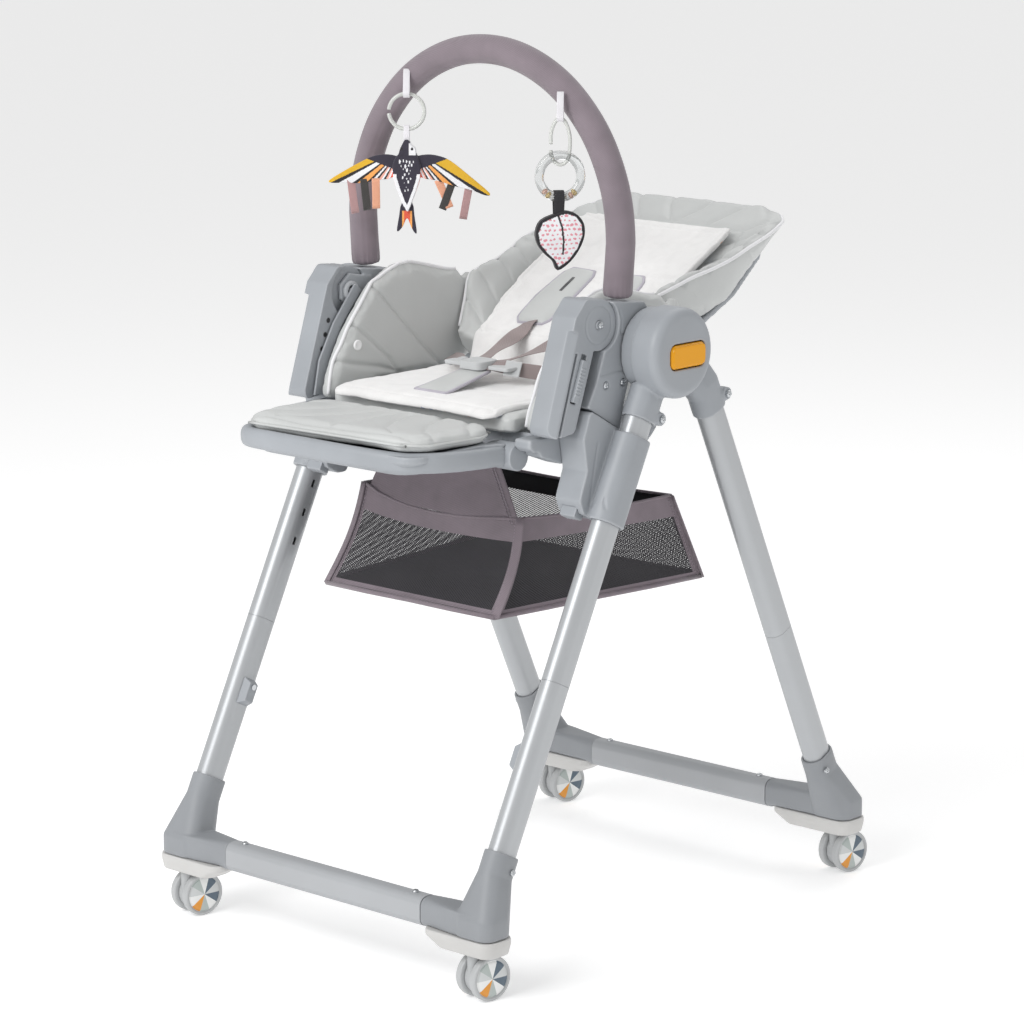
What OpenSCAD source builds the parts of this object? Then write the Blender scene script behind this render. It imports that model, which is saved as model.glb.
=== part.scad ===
// Folding baby high chair: a wheeled A-frame, a reclining seat that slides along the
// front legs, a leg rest, two swing arms, a play arch with two toys and a fabric basket.
// Units are millimetres. The chair faces -Y, +Z is up and the floor is z = 0.

/* [Frame] */
// Distance from the middle of the chair to the middle of each leg
leg_x = 272; // [262:1:290]
// Height of the fold axis above the floor
hub_z = 801; // [795:1:810]
// Fold axis, measured along Y from the midpoint between front and rear wheels
hub_y = -37; // [-42:1:-32]
// Lean of the front legs from the vertical
front_tilt = 26.5; // [25:0.5:28]
// Lean of the rear legs from the vertical
rear_tilt = 25.1; // [24:0.1:26]
// Distance of the rear leg line behind the fold axis
rear_offset = 54; // [50:1:58]
// Long side of the oval leg tube
tube_w = 42; // [38:1:44]
// Short side of the oval leg tube
tube_d = 30; // [26:1:32]
// Radius of the round hub cover
hub_r = 60; // [56:1:62]

/* [Casters] */
// Radius of the caster wheels
wheel_r = 30; // [28:1:31]
// Resting swivel of every caster about its stem
caster_swivel = -10; // [-20:1:20]
// Distance of the wheel axle behind the stem
caster_trail = 15; // [10:1:18]

/* [Seat] */
// Resting slope of the reclined backrest above the horizontal
recline = 29; // [25:1:32]
// Half width of the seat cushion
seat_half = 172; // [165:1:173]
// Half width of the leg rest
legrest_half = 163; // [155:1:166]

/* [Play arch] */
// Half width of the play arch
arch_a = 234; // [230:1:240]
// Rise of the arch above its straight legs
arch_b = 238; // [225:1:245]
// Diameter of the padded arch tube
arch_d = 39; // [34:1:40]

/* [Hidden] */
$fn = 48;

// Stations along the legs, measured down from the fold axis
tube_wall = 1.5;
tube_top = 60;
slider_s0 = 120;
slider_s1 = 241;
front_seam = 459;
front_socket = 688;
rear_seam = 489;
rear_socket = 705;
tube_end_f = 748;
tube_end_r = 764;
// Cross bars and feet
bar_z = 100;
bar_h = 40;
bar_t = 32;
front_bar_y = -386;
rear_bar_y = 348;
front_bar_x = 181;
rear_bar_x = 164;
sole_z0 = 63;
sole_z1 = 84.8;
sole_inset = 9;
front_foot_y = -384;
rear_foot_y = 360;
// Casters
caster_x = 268;
stem_front_y = -393;
stem_rear_y = 364;
stem_r = 5;
wheel_w = 11;
wheel_gap = 18;
axle_r = 4;
// Hub
hub_in = 252;
hub_mid = 272;
hub_out = 315;
hub_pin_r = 9;
button_w = 70;
button_h = 33;
button_dy = 6;
// Seat
arm_hinge = [-128, 842];
arm_in = 205;
arm_out = 245;
arch_y = -73;
socket_x = 229;
socket_r = 10.4;
legrest_axis = [-212, 672];
barrel_r = 18.5;
rod_r = 10;
recline_axis = [20, 700];
lever_axis = [370, -3.5];
run = 0.06;
// Play arch and toys
arch_foot_z = 870;
arch_straight_z = 942;
toy_turn = 40;
bird_hook = [-125, -99, 1117];
leaf_hook = [157, -105, 1105];

GREY = [0.58, 0.61, 0.63];
FOOT = [0.53, 0.55, 0.57];
SOLE = [0.74, 0.73, 0.72];
STEEL = [0.62, 0.63, 0.64];
CHROME = [0.82, 0.84, 0.86];
AMBER = [0.93, 0.65, 0.05];
COVER = [0.76, 0.77, 0.76];
PLUSH = [0.93, 0.92, 0.91];
MAUVE = [0.48, 0.44, 0.46];
NAVY = [0.15, 0.14, 0.19];

// ---- Helpers ----

module both_sides() {
    children();
    mirror([1, 0, 0]) children();
}

// Oval leg section: long side along Y, short side along X
module stadium(w, d) {
    translate([-d / 2, -(w - d) / 2]) square([d, w - d]);
    for (s = [-1, 1]) translate([0, s * (w - d) / 2]) circle(d = d);
}

// Local frame of the right front leg: origin on the fold axis, -Z down the leg
module front_leg() translate([leg_x, hub_y, hub_z]) rotate([-front_tilt, 0, 0]) children();

// Local frame of the right rear leg
module rear_leg()
    translate([leg_x, hub_y, hub_z]) rotate([rear_tilt, 0, 0])
        translate([0, rear_offset, 0]) children();

// Hollow oval length between two stations down a leg
module oval_tube(s0, s1, w, d, wall)
    translate([0, 0, -s1]) linear_extrude(s1 - s0) difference() {
        stadium(w, d);
        stadium(w - 2 * wall, d - 2 * wall);
    }

module oval_solid(s0, s1, w, d) translate([0, 0, -s1]) linear_extrude(s1 - s0) stadium(w, d);

// Cylinder along X between two X positions, at a point of the YZ plane
module rod_x(x0, x1, r, at = [0, 0])
    translate([x0, at[0], at[1]]) rotate([0, 90, 0]) cylinder(r = r, h = x1 - x0);

// Prism along X of an outline given in the YZ plane
module side_prism(x0, x1, outline)
    translate([x0, 0, 0]) rotate([90, 0, 90]) linear_extrude(x1 - x0) polygon(outline);

module round_plate(x0, x1, y0, y1, z0, h, r)
    translate([0, 0, z0]) linear_extrude(h) hull()
        for (x = [x0 + r, x1 - r], y = [y0 + r, y1 - r]) translate([x, y]) circle(r = r, $fn = 32);

// Cross section of a foot bar: a rounded rectangle in the YZ plane
module bar_section() offset(r = 12, $fn = 32) square([bar_t - 24, bar_h - 24], center = true);

module bar_length(x0, x1, y)
    translate([x0, y, bar_z]) rotate([90, 0, 90]) linear_extrude(x1 - x0) bar_section();

// ---- Front frame ----

module lower_tube(seam, end) {
    oval_tube(seam + 0.4, end, tube_w, tube_d, tube_wall);
    oval_tube(seam - 34, seam + 6, tube_w - 2 * tube_wall - 0.4, tube_d - 2 * tube_wall - 0.4,
        tube_wall);
}

module front_lower_tubes() color(STEEL) both_sides()
    front_leg() lower_tube(front_seam, tube_end_f);

// The upper tube carries a row of latch slots on its inner face
module front_upper_tubes() color(STEEL) both_sides() front_leg() difference() {
    oval_tube(tube_top, front_seam, tube_w, tube_d, tube_wall);
    for (i = [0:3]) translate([-tube_d / 2 - 2, -2.5, -223 - 42 * i]) cube([6, 5, 11]);
}

// A foot: a socket for the leg, a base over the sole and a stub that takes the cross bar
module foot_body(foot_y, bar_y, bar_x) {
    hull() {
        children();
        round_plate(242, 307, foot_y - 26, foot_y + 26, sole_z1 + 0.2, 26, 18);
    }
    hull() {
        bar_length(bar_x + 0.2, bar_x + 4, bar_y);
        round_plate(238, 290, foot_y - 24, foot_y + 24, sole_z1 + 0.2, 32, 14);
    }
}

// Flat underside that the sole plate is clipped to
module sole_seat(foot_y, bar_x) translate([bar_x + sole_inset - 0.2, foot_y - 40, 0])
    cube([140, 80, sole_z1 + 0.2]);

module foot_stem(y) translate([caster_x, y, sole_z0 - 1]) cylinder(r = stem_r + run, h = 34);

module front_feet() color(FOOT) both_sides() difference() {
    union() {
        foot_body(front_foot_y, front_bar_y, front_bar_x)
            front_leg() oval_solid(front_socket + 30, front_socket + 42, 50, 38);
        front_leg() oval_solid(front_socket, front_socket + 42, 50, 38);
    }
    front_leg() oval_solid(front_socket - 1, tube_end_f + 0.5, tube_w + 0.3, tube_d + 0.3);
    foot_stem(stem_front_y);
    sole_seat(front_foot_y, front_bar_x);
}

module foot_sole(foot_y, x0) hull() {
    round_plate(x0, 309, foot_y - 28, foot_y + 28, sole_z1 - 8, 8, 18);
    round_plate(x0 + 24, 306, foot_y - 25, foot_y + 25, sole_z0, 4, 16);
}

module front_foot_soles() color(SOLE) both_sides() difference() {
    foot_sole(front_foot_y, front_bar_x + sole_inset);
    foot_stem(stem_front_y);
}

module front_cross_bar() color(FOOT)
    bar_length(-front_bar_x, front_bar_x, front_bar_y);

// Outer hub cup: a hollow rounded disc with a window for the fold button
module hub_cup() difference() {
    rotate([0, 90, 0]) rotate_extrude($fn = 96) polygon([[0, 0], [hub_r, 0], [hub_r, 30],
        for (a = [0:15:90]) [hub_r - 12 + 12 * cos(a), 31 + 12 * sin(a)], [0, 43]]);
    translate([4, 0, 0]) rotate([0, 90, 0]) cylinder(r = hub_r - 5, h = 34, $fn = 96);
    translate([30, button_dy, -3]) rotate([90, 0, 90]) linear_extrude(20)
        offset(r = 9, $fn = 32) square([button_w - 17.2, button_h - 17.2], center = true);
}

module front_hubs() color(GREY) both_sides() {
    difference() {
        union() {
            translate([hub_mid, hub_y, hub_z]) hub_cup();
            difference() {
                front_leg() oval_solid(36, 97, 50, 38);
                rod_x(hub_in - 10, hub_mid + 0.5, 57.5, [hub_y, hub_z]);
                rod_x(hub_mid + 4, hub_out, hub_r - 5, [hub_y, hub_z]);
            }
            front_leg() translate([8, 0, 0]) rod_screw_lug(86);
        }
        front_leg() oval_solid(tube_top - 0.5, 98, tube_w + 0.3, tube_d + 0.3);
        front_leg() rod_x(-1, 30, 3, [23, -86]);
    }
    rod_x(hub_in + 4, hub_mid + 5, hub_pin_r, [hub_y, hub_z]);
}

// Lug on the rear face of a leg sleeve, bored for the clamp screw
module rod_screw_lug(s) rod_x(-4, 11, 9, [23, -s]);

// Clamp screw of a sleeve lug
module lug_screw(s) {
    rod_x(19.1, 21.6, 5, [23, -s]);
    rod_x(6.5, 19.2, 2.8, [23, -s]);
}

module fold_bumpers() color(GREY) both_sides() front_leg() difference() {
    hull() {
        translate([-tube_d / 2 - 0.1, -11, -582]) cube([0.1, 22, 38], center = false);
        translate([-tube_d / 2 - 12, -8, -576]) cube([1, 16, 26], center = false);
    }
    rod_x(-tube_d / 2 - 20, -tube_d / 2 + 1, 2, [0, -555]);
}

// Screws of the front frame: foot socket, cross bar, sleeve lugs and hub pins
module front_screws() color(CHROME) both_sides() {
    front_leg() lug_screw(86);
    front_leg() rod_x(19.1, 21, 4.5, [8, -708]);
    translate([front_bar_x - 22, front_bar_y, bar_z + bar_h / 2 + 0.1]) cylinder(r = 4.5, h = 1.6);
    rod_x(hub_in, hub_in + 3.9, 12, [hub_y, hub_z]);
    front_leg() rod_x(-tube_d / 2 - 13.6, -tube_d / 2 - 12.1, 4, [0, -555]);
}

// ---- Rear frame ----

module rear_lower_tubes() color(STEEL) both_sides()
    rear_leg() lower_tube(rear_seam, tube_end_r);

module rear_upper_tubes() color(STEEL) both_sides()
    rear_leg() oval_tube(92, rear_seam, tube_w, tube_d, tube_wall);

module rear_feet() color(FOOT) both_sides() difference() {
    union() {
        foot_body(rear_foot_y, rear_bar_y, rear_bar_x)
            rear_leg() oval_solid(rear_socket + 30, rear_socket + 42, 50, 38);
        rear_leg() oval_solid(rear_socket, rear_socket + 42, 50, 38);
    }
    rear_leg() oval_solid(rear_socket - 1, tube_end_r + 0.5, tube_w + 0.3, tube_d + 0.3);
    foot_stem(stem_rear_y);
    sole_seat(rear_foot_y, rear_bar_x);
}

module rear_foot_soles() color(SOLE) both_sides() difference() {
    foot_sole(rear_foot_y, rear_bar_x + sole_inset);
    foot_stem(stem_rear_y);
}

module rear_cross_bar() color(FOOT) bar_length(-rear_bar_x, rear_bar_x, rear_bar_y);

// Inner hub disc and the sleeve of the rear leg, turning on the front hub's pin
module rear_hubs() color(GREY) both_sides() difference() {
    union() {
        rod_x(hub_in, hub_mid - 0.5, hub_r - 4, [hub_y, hub_z]);
        hull() {
            rear_leg() rod_x(hub_in - leg_x, -0.5, 27, [28 - rear_offset, 0]);
            rear_leg() oval_solid(84, 100, 50, 38);
        }
        rear_leg() oval_solid(84, 127, 50, 38);
        rear_leg() translate([8, 0, 0]) rod_screw_lug(114);
    }
    rod_x(hub_mid - 0.4, hub_out, hub_r + 1.5, [hub_y, hub_z]);
    rod_x(hub_in - 5, hub_mid + 5, hub_pin_r + run, [hub_y, hub_z]);
    rod_x(hub_in - 5, hub_in + 4, 12.5, [hub_y, hub_z]);
    rear_leg() oval_solid(91.5, 128, tube_w + 0.3, tube_d + 0.3);
    rear_leg() rod_x(-1, 30, 3, [23, -114]);
}

module rear_screws() color(CHROME) both_sides() {
    rear_leg() lug_screw(114);
    rear_leg() rod_x(19.1, 21, 4.5, [-10, -724]);
    translate([rear_bar_x - 22, rear_bar_y, bar_z + bar_h / 2 + 0.1]) cylinder(r = 4.5, h = 1.6);
}

// ---- Fold buttons: the button face, its stem and the lock plate inside the hub ----

module fold_button() translate([0, hub_y, hub_z]) {
    translate([300, button_dy, -3]) rotate([90, 0, 90]) linear_extrude(15)
        offset(r = 8.4, $fn = 32) square([button_w - 18.4, button_h - 18.4], center = true);
    translate([315, button_dy, -3]) rotate([90, 0, 90]) linear_extrude(3)
        offset(r = 6.4, $fn = 32) square([button_w - 18.4, button_h - 18.4], center = true);
    rod_x(290, 301, 8);
    rod_x(286, 291, 22);
}

module fold_button_right() color(AMBER) fold_button();
module fold_button_left() color(AMBER) mirror([1, 0, 0]) fold_button();

// ---- Carriage: everything that slides along the front legs ----

// Slider: a sleeve on the front leg and an inner block that carries the seat
module sliders() color(GREY) both_sides() difference() {
    union() {
        front_leg() oval_solid(slider_s0, slider_s1, 54, 40);
        front_leg() translate([212 - leg_x, 0, 0]) rotate([90, 0, 90]) linear_extrude(44)
            offset(r = 6, $fn = 32) offset(r = -6) polygon([[-76, -112], [0, -116], [10, -122],
                [10, -232], [-4, -239], [-28, -239], [-43, -226], [-47, -186], [-72, -152]]);
    }
    front_leg() oval_solid(slider_s0 - 10, slider_s1 + 10, tube_w + 0.5, tube_d + 0.5);
    // pocket for the squeeze trigger, open at the lower end of the block
    front_leg() translate([220 - leg_x, -34, -242]) cube([26, 18, 26]);
}

// Squeeze trigger in the lower end of a slider's block
module height_trigger() front_leg() translate([220.3 - leg_x, -33.7, -245]) {
    cube([25.4, 17.4, 20]);
    for (i = [0:4]) translate([2 + 5 * i, 2, -1.2]) cube([2.4, 13.4, 1.4]);
}

module height_trigger_right() color(GREY) height_trigger();
module height_trigger_left() color(GREY) mirror([1, 0, 0]) height_trigger();

// Side bracket: socket for the play arch, round recess and pivot for the swing arm
module brackets() color(GREY) both_sides() {
    difference() {
        side_prism(208, 250, [[-120, 872], [-43, 864], [-28, 847], [-50, 823], [-63, 800],
            [-66, 779], [-82, 736], [-90, 700], [-154, 736.8], [-138, 766], [-116, 821], [-100, 842]]);
        rod_x(200, 251, 34.6, arm_hinge);
        translate([socket_x, arch_y, 790]) cylinder(r = socket_r, h = 100);
        rod_x(246, 251, 5.5, [-118, 762]);
        rod_x(246, 251, 5.5, [-84, 762]);
    }
    side_prism(206.2, 211.8, [[-146, 852], [-128, 866], [-86, 858], [-86, 826], [-128, 818],
        [-146, 832]]);
    rod_x(211, 247, 6, arm_hinge);
}

// Hard pan below the seat, with side walls, leg rest lugs and ears for the backrest
module seat_pan() color(GREY) difference() {
    union() {
        side_prism(-186, 186, [[-186, 699], [-186, 682], [-150, 660], [-60, 652], [0, 660],
            [6, 672], [-1, 673], [-6, 668], [-62, 660], [-148, 668], [-178, 687], [-178, 699]]);
        both_sides() {
            side_prism(184, 211.8, [[-224, 699], [-224, 688], [-208, 676], [-164, 660],
                [-60, 652], [10, 664], [30, 682], [33, 700], [12, 700]]);
            rod_x(175, 186, 13, recline_axis);
            hull() {
                rod_x(130, 144, 16, legrest_axis);
                translate([130, -186, 664]) cube([14, 6, 20]);
            }
        }
    }
    rod_x(-220, 220, rod_r + run, legrest_axis);
    both_sides() rod_x(170, 192, 6 + run, recline_axis);
}

module seat_cushion() color(COVER) difference() {
    round_plate(-seat_half, seat_half, -216, 26, 699.3, 22, 18);
    // slot of the crotch strap
    translate([-20, -150, 690]) cube([40, 5, 40]);
    // room for the backrest's ears
    both_sides() translate([157, 8, 690]) cube([20, 30, 40]);
}

// Padded side wings beside the child, fixed to the seat
module side_wings() color(COVER) both_sides()
    side_prism(176, 198, [[-202, 703], [-190, 752], [-162, 800], [-120, 850], [-98, 864],
        [-66, 877], [-36, 880], [0, 873], [34, 864], [66, 865], [52, 800], [44, 740],
        [30, 719], [0, 717], [-60, 712], [-150, 702]]);

module seat_liner() color(PLUSH) difference() {
    round_plate(-152, 152, -234, 30, 721.6, 11, 24);
    translate([-20, -150, 715]) cube([40, 5, 40]);
}

module crotch_strap() color(COVER) hull() {
    round_plate(-27, 27, -182, -150, 733, 7, 10);
    round_plate(-24, 24, -120, -96, 748, 5, 8);
}

module harness_buckle() color(SOLE) {
    round_plate(-20, 20, -112, -70, 753.4, 12, 8);
    both_sides() round_plate(22, 66, -98, -80, 752, 6, 4);
}

// Basket: a tapered fabric bin, open on top, hung on two tapes
module frustum(y0, y1, z0, x0, x1, ty0, ty1, tz, tx0, tx1)
    polyhedron([[-x0, y0, z0], [x0, y0, z0], [x1, y1, z0], [-x1, y1, z0],
        [-tx0, ty0, tz], [tx0, ty0, tz], [tx1, ty1, tz], [-tx1, ty1, tz]],
        [[0, 1, 2, 3], [7, 6, 5, 4], [4, 5, 1, 0], [5, 6, 2, 1], [6, 7, 3, 2], [7, 4, 0, 3]]);

module basket() color(MAUVE) {
    difference() {
        frustum(-230, 145, 456, 155, 196, -168, 86, 578, 143, 190);
        frustum(-226, 141, 461, 151, 192, -164, 82, 579, 139.5, 186.5);
    }
    both_sides() translate([176, -30, 578]) cube([3, 20, 73]);
}

// Front panel that hangs the basket from the seat pan
module basket_panel() color(MAUVE)
    side_wedge(-168, 578.3, 138, -140, 656, 112, 3);

module side_wedge(y0, z0, x0, y1, z1, x1, t)
    polyhedron([[-x0, y0, z0], [x0, y0, z0], [x1, y1, z1], [-x1, y1, z1],
        [-x0, y0 + t, z0], [x0, y0 + t, z0], [x1, y1 + t, z1], [-x1, y1 + t, z1]],
        [[3, 2, 1, 0], [4, 5, 6, 7], [0, 1, 5, 4], [1, 2, 6, 5], [2, 3, 7, 6], [3, 0, 4, 7]]);

module carriage_screws() color(CHROME) both_sides() {
    rod_x(247.1, 249, 5, arm_hinge);
    rod_x(246, 249, 5, [-118, 762]);
    rod_x(246, 249, 5, [-84, 762]);
    rod_x(204.2, 206.1, 6, arm_hinge);
}

// ---- Backrest: local frame with X across, Y up the backrest, Z out of its surface ----

module backrest_frame()
    translate([0, recline_axis[0], recline_axis[1]]) rotate([recline, 0, 0]) children();

module plan_prism(z0, h, half) translate([0, 0, z0]) linear_extrude(h)
    polygon(concat(half, [for (i = [len(half) - 1:-1:0]) [-half[i][0], half[i][1]]]));

module backrest_shell() color(GREY) backrest_frame() {
    plan_prism(4, 7.6, [[166, 36], [163, 120], [163, 200], [168, 260], [150, 350], [112, 418]]);
    both_sides() {
        side_prism(160, 172, [[-8, -6], [8, -8], [44, 4.2], [44, 11.6], [0, 10]]);
        rod_x(160, 186, 6);
        translate([14.4, 363, -8]) cube([4, 14, 13]);
    }
    rod_x(-15, 15, 2, lever_axis);
}

module backrest_cushion() color(COVER) backrest_frame() difference() {
    intersection() {
        plan_prism(0, 140, [[172, 44], [173, 190], [194, 246], [191, 350], [158, 422],
            [120, 432]]);
        side_prism(-200, 200, [[40, 12], [60, 60], [119, 119], [178, 99], [264, 80], [350, 59],
            [420, 40], [432, 28], [424, 12]]);
    }
    intersection() {
        plan_prism(0, 150, [[150, 30], [150, 180], [164, 250], [158, 350], [126, 400]]);
        side_prism(-200, 200, [[20, 150], [20, 46], [350, 48], [400, 60], [410, 150]]);
    }
    backrest_frame_pocket();
}

// Hollow under the cushion for the hard shell
module backrest_frame_pocket() plan_prism(0, 11.9, [[180, 30], [200, 200], [200, 440]]);

module backrest_liner() color(PLUSH) backrest_frame()
    translate([0, 0, 48.4]) linear_extrude(9.6) polygon([[-126, 50], [126, 50], [140, 180],
        [140, 336], [-140, 336], [-140, 180]]);

module shoulder_pads() color(COVER) backrest_frame() both_sides()
    round_plate(14, 78, 78, 208, 58.4, 8, 14);

module recline_lever() color(GREY) backrest_frame() {
    translate([0, 0, -9]) linear_extrude(8.5) hull() {
        translate([-40, 380]) square([80, 6]);
        for (s = [-1, 1]) translate([s * 34, 398]) circle(r = 6, $fn = 32);
    }
    difference() {
        translate([-14, 365, -8]) cube([28, 18, 8.5]);
        rod_x(-16, 16, 2 + run, lever_axis);
    }
}

// ---- Leg rest ----

module legrest_tube() color(GREY) {
    rod_x(-150, 150, rod_r, legrest_axis);
    both_sides() rod_x(148, 182, barrel_r, legrest_axis);
}

// Pan under the leg cushion: a tray with a rolled front edge, hung on the two barrels
module legrest_pan() color(GREY) difference() {
    union() {
        hull() {
            round_plate(-legrest_half, legrest_half, -392, -240, 684, 8, 26);
            round_plate(-138, 138, -378, -240, 664, 4, 30);
        }
        both_sides() hull() {
            rod_x(149, 170, 17, legrest_axis);
            translate([146, -262, 670]) cube([17, 16, 21]);
        }
    }
    hull() {
        round_plate(-legrest_half + 9, legrest_half - 9, -380, -252, 691, 4, 20);
        round_plate(-130, 130, -368, -252, 669, 3, 24);
    }
    both_sides() rod_x(140, 190, barrel_r + 0.05, legrest_axis);
}

module legrest_cushion() color(COVER)
    round_plate(-legrest_half, legrest_half, -386, -222, 692.3, 21, 22);

// ---- Swing arms ----

module arm() difference() {
    union() {
        difference() {
            rod_x(arm_in, arm_out, 34, arm_hinge);
            rod_x(arm_in - 1, 212.2, 34.5, arm_hinge);
        }
        difference() {
            translate([arm_in, 0, 0]) rotate([90, 0, 90]) linear_extrude(arm_out - arm_in)
                offset(r = 9, $fn = 40) offset(r = -9) polygon([[-173, 856], [-152, 878],
                    [-128, 876], [-112, 842], [-137, 810], [-174, 706], [-216, 702],
                    [-218, 716]]);
            rod_x(arm_in - 1, 212.2, 36, arm_hinge);
        }
    }
    // rounded outer edge of the front rail, and the groove that parts it from the strip
    arm_rail() linear_extrude(260, center = true) polygon([[0.1, -9], [0.1, 11], [-17, -9]]);
    arm_rail() translate([-15, 14.5, -20]) cube([20, 4, 124]);
    // pocket of the lever
    arm_strip() translate([237, -5.2, -2]) cube([20, 10.4, 66]);
    rod_x(200, 250, 6 + run, arm_hinge);
    // adjustment holes on the inner face
    for (i = [0:2]) rod_x(204, 216, 3, [-172 - 6.5 * i, 806 - 19 * i]);
}

// Local frame of the arm's front edge: X outwards, Y back into the arm, Z up the edge
module arm_rail() translate([arm_out, -218, 716]) rotate([-17.8, 0, 0]) children();

// Local frame of the strip that holds the lever, Z up the strip
module arm_strip() translate([0, -178, 747]) rotate([-20.5, 0, 0]) children();

module arm_lever() arm_strip() {
    translate([237.3, -5, 0]) cube([12.2, 10, 56]);
    for (i = [0:8]) translate([249, -4.4, 8 + 4.4 * i]) cube([1.6, 8.8, 2.2]);
}

module arm_right() color(GREY) arm();
module arm_left() color(GREY) mirror([1, 0, 0]) arm();
module arm_lever_right() color(GREY) arm_lever();
module arm_lever_left() color(GREY) mirror([1, 0, 0]) arm_lever();

// ---- Play arch and toys ----

function arch_point(t) =
    t < 0 ? [socket_x + (arch_a - socket_x) * (1 + t), arch_foot_z + (arch_straight_z
        - arch_foot_z) * (1 + t)]
    : t > 1 ? [-socket_x - (arch_a - socket_x) * (2 - t), arch_foot_z + (arch_straight_z
        - arch_foot_z) * (2 - t)]
    : [arch_a * cos(180 * t), arch_straight_z + arch_b * sin(180 * t)];

function arch_ring(t, sides) =
    let (p = arch_point(t), q = arch_point(t + 0.001), d = (q - p) / norm(q - p))
    [for (k = [0:sides - 1]) let (a = 360 * k / sides, c = arch_d / 2 * cos(a))
        [p[0] - d[1] * c, arch_y + arch_d / 2 * sin(a), p[1] + d[0] * c]];

// Padded arch: straight legs and a half ellipse, as one swept tube
module play_arch() color(MAUVE) {
    steps = concat([for (i = [0:3]) -1 + i * 0.25], [for (i = [0:36]) i / 36],
        [for (i = [1:4]) 1 + i * 0.2499]);
    sides = 12;
    rings = len(steps);
    polyhedron([for (t = steps) each arch_ring(t, sides)],
        concat([[for (k = [0:sides - 1]) k]],
            [for (r = [0:rings - 2], k = [0:sides - 1])
                [r * sides + k, (r + 1) * sides + k, (r + 1) * sides + (k + 1) % sides,
                    r * sides + (k + 1) % sides]],
            [[for (k = [sides - 1:-1:0]) (rings - 1) * sides + k]]));
    for (hook = [bird_hook, leaf_hook]) hang_loop(hook);
}

// Tape loop that a toy's ring hangs in
module hang_loop(at) translate(at) rotate([0, 0, toy_turn]) {
    rotate([0, 90, 0]) rotate_extrude() translate([7.5, 0]) square([1.6, 6], center = true);
    translate([-3, -0.8, 7.6]) cube([6, 1.6, 15]);
    translate([-3, -0.8, 19]) rotate([-8, 0, 0]) cube([6, 20, 3]);
}

module arch_plugs() color(STEEL) both_sides()
    translate([socket_x, arch_y, 796]) cylinder(r = socket_r - 0.08, h = 69.8);

module toy_frame(hook) translate(hook) rotate([0, 0, toy_turn]) children();

// Ring whose top lies in the hang loop: local X across, Z up, ring centre below the hook
module toy_ring(r, wire, drop)
    translate([0, 0, -drop]) rotate([90, 0, 0]) rotate_extrude() translate([r, 0])
        circle(r = wire);

module bird_ring() color(PLUSH) toy_frame(bird_hook) toy_ring(24, 2.6, 26.5);

module bird_body() color(NAVY) toy_frame(bird_hook) translate([0, 0, -26.5])
    rotate([90, 0, 0]) {
        translate([0, 0, -8]) linear_extrude(16) polygon([[-6, -32], [6, -32], [9, -44],
            [16, -64], [20, -90], [3, -134], [-3, -134], [-20, -90], [-16, -64], [-9, -44]]);
        translate([0, 0, -3]) linear_extrude(6) {
            polygon([[14, -60], [28, -59], [54, -66], [111, -105], [108, -110], [60, -98],
                [20, -92]]);
            polygon([[-14, -60], [-44, -60], [-60, -66], [-105, -92], [-104, -96],
                [-60, -92], [-20, -92]]);
            polygon([[-3, -130], [3, -130], [13, -166], [8, -164], [0, -146], [-8, -164],
                [-15, -162]]);
            for (x = [-74, -58, -42, 42, 58, 74]) translate([x - 5, -136]) square([10, 44]);
        }
    }

module leaf_links() color(PLUSH) toy_frame(leaf_hook) {
    // oblong link
    translate([0, 0, -33.6]) rotate([90, 0, 0]) difference() {
        translate([0, 0, -2.5]) linear_extrude(5) stadium(68, 30);
        translate([0, 0, -4]) linear_extrude(8) stadium(57, 19);
    }
    // rattle ring
    translate([0, 0, -79]) rotate([90, 0, 12]) rotate_extrude() translate([27.5, 0])
        circle(r = 6);
}

module leaf_body() color(PLUSH) toy_frame(leaf_hook) rotate([90, 0, 12]) {
    // strap around the rattle ring, then the stuffed leaf
    translate([0, 0, -3]) linear_extrude(6) translate([-6, -128]) square([12, 15]);
    translate([0, 0, -6]) linear_extrude(12) polygon([[-6, -126], [14, -124], [30, -137],
        [33, -156], [24, -182], [-2, -202], [-10, -188], [-27, -176], [-33, -152],
        [-26, -134]]);
}

// ---- Casters: local frame at the stem foot, X along the axle ----

module caster(x, y) translate([x, y, 0]) rotate([0, 0, caster_swivel]) children();

module caster_fork() difference() {
    union() {
        rod_x(-8, 8, 24, [caster_trail, wheel_r]);
        translate([0, 0, 38]) cylinder(r = 8.5, h = sole_z0 - 38.3);
        translate([-8, 0, 34]) cube([16, 14, 24]);
        translate([0, 0, 50]) cylinder(r = stem_r, h = 44);
    }
    rod_x(-9, 9, axle_r + run, [caster_trail, wheel_r]);
    // room for the brake pedal on both sides of a middle tongue
    for (s = [-1, 1]) translate([s * 8 - 5, caster_trail + 4, 42]) cube([10, 30, 20]);
    rod_x(-9, 9, 2 + run, [caster_trail + 10, 47]);
}

module caster_wheels() {
    rod_x(-wheel_gap / 2, wheel_gap / 2, axle_r, [caster_trail, wheel_r]);
    for (s = [-1, 1]) translate([s * (wheel_gap + wheel_w) / 2, caster_trail, wheel_r])
        rotate([0, s * 90, 0]) rotate_extrude($fn = 64)
            polygon([[0, -wheel_w / 2], [wheel_r - 2, -wheel_w / 2], [wheel_r, -wheel_w / 2 + 2],
                [wheel_r, wheel_w / 2 - 3], [wheel_r - 3, wheel_w / 2],
                [wheel_r - 5, wheel_w / 2 - 1], [0, wheel_w / 2 - 0.4]]);
}

module caster_pedal() {
    difference() {
        hull() {
            rod_x(-7.6, 7.6, 4, [caster_trail + 10, 47]);
            translate([-7.6, caster_trail + 24, 45]) cube([15.2, 3, 4]);
        }
        translate([-3.2, caster_trail, 38]) cube([6.4, 22.5, 20]);
    }
    rod_x(-7.6, 7.6, 2, [caster_trail + 10, 47]);
}

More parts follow.
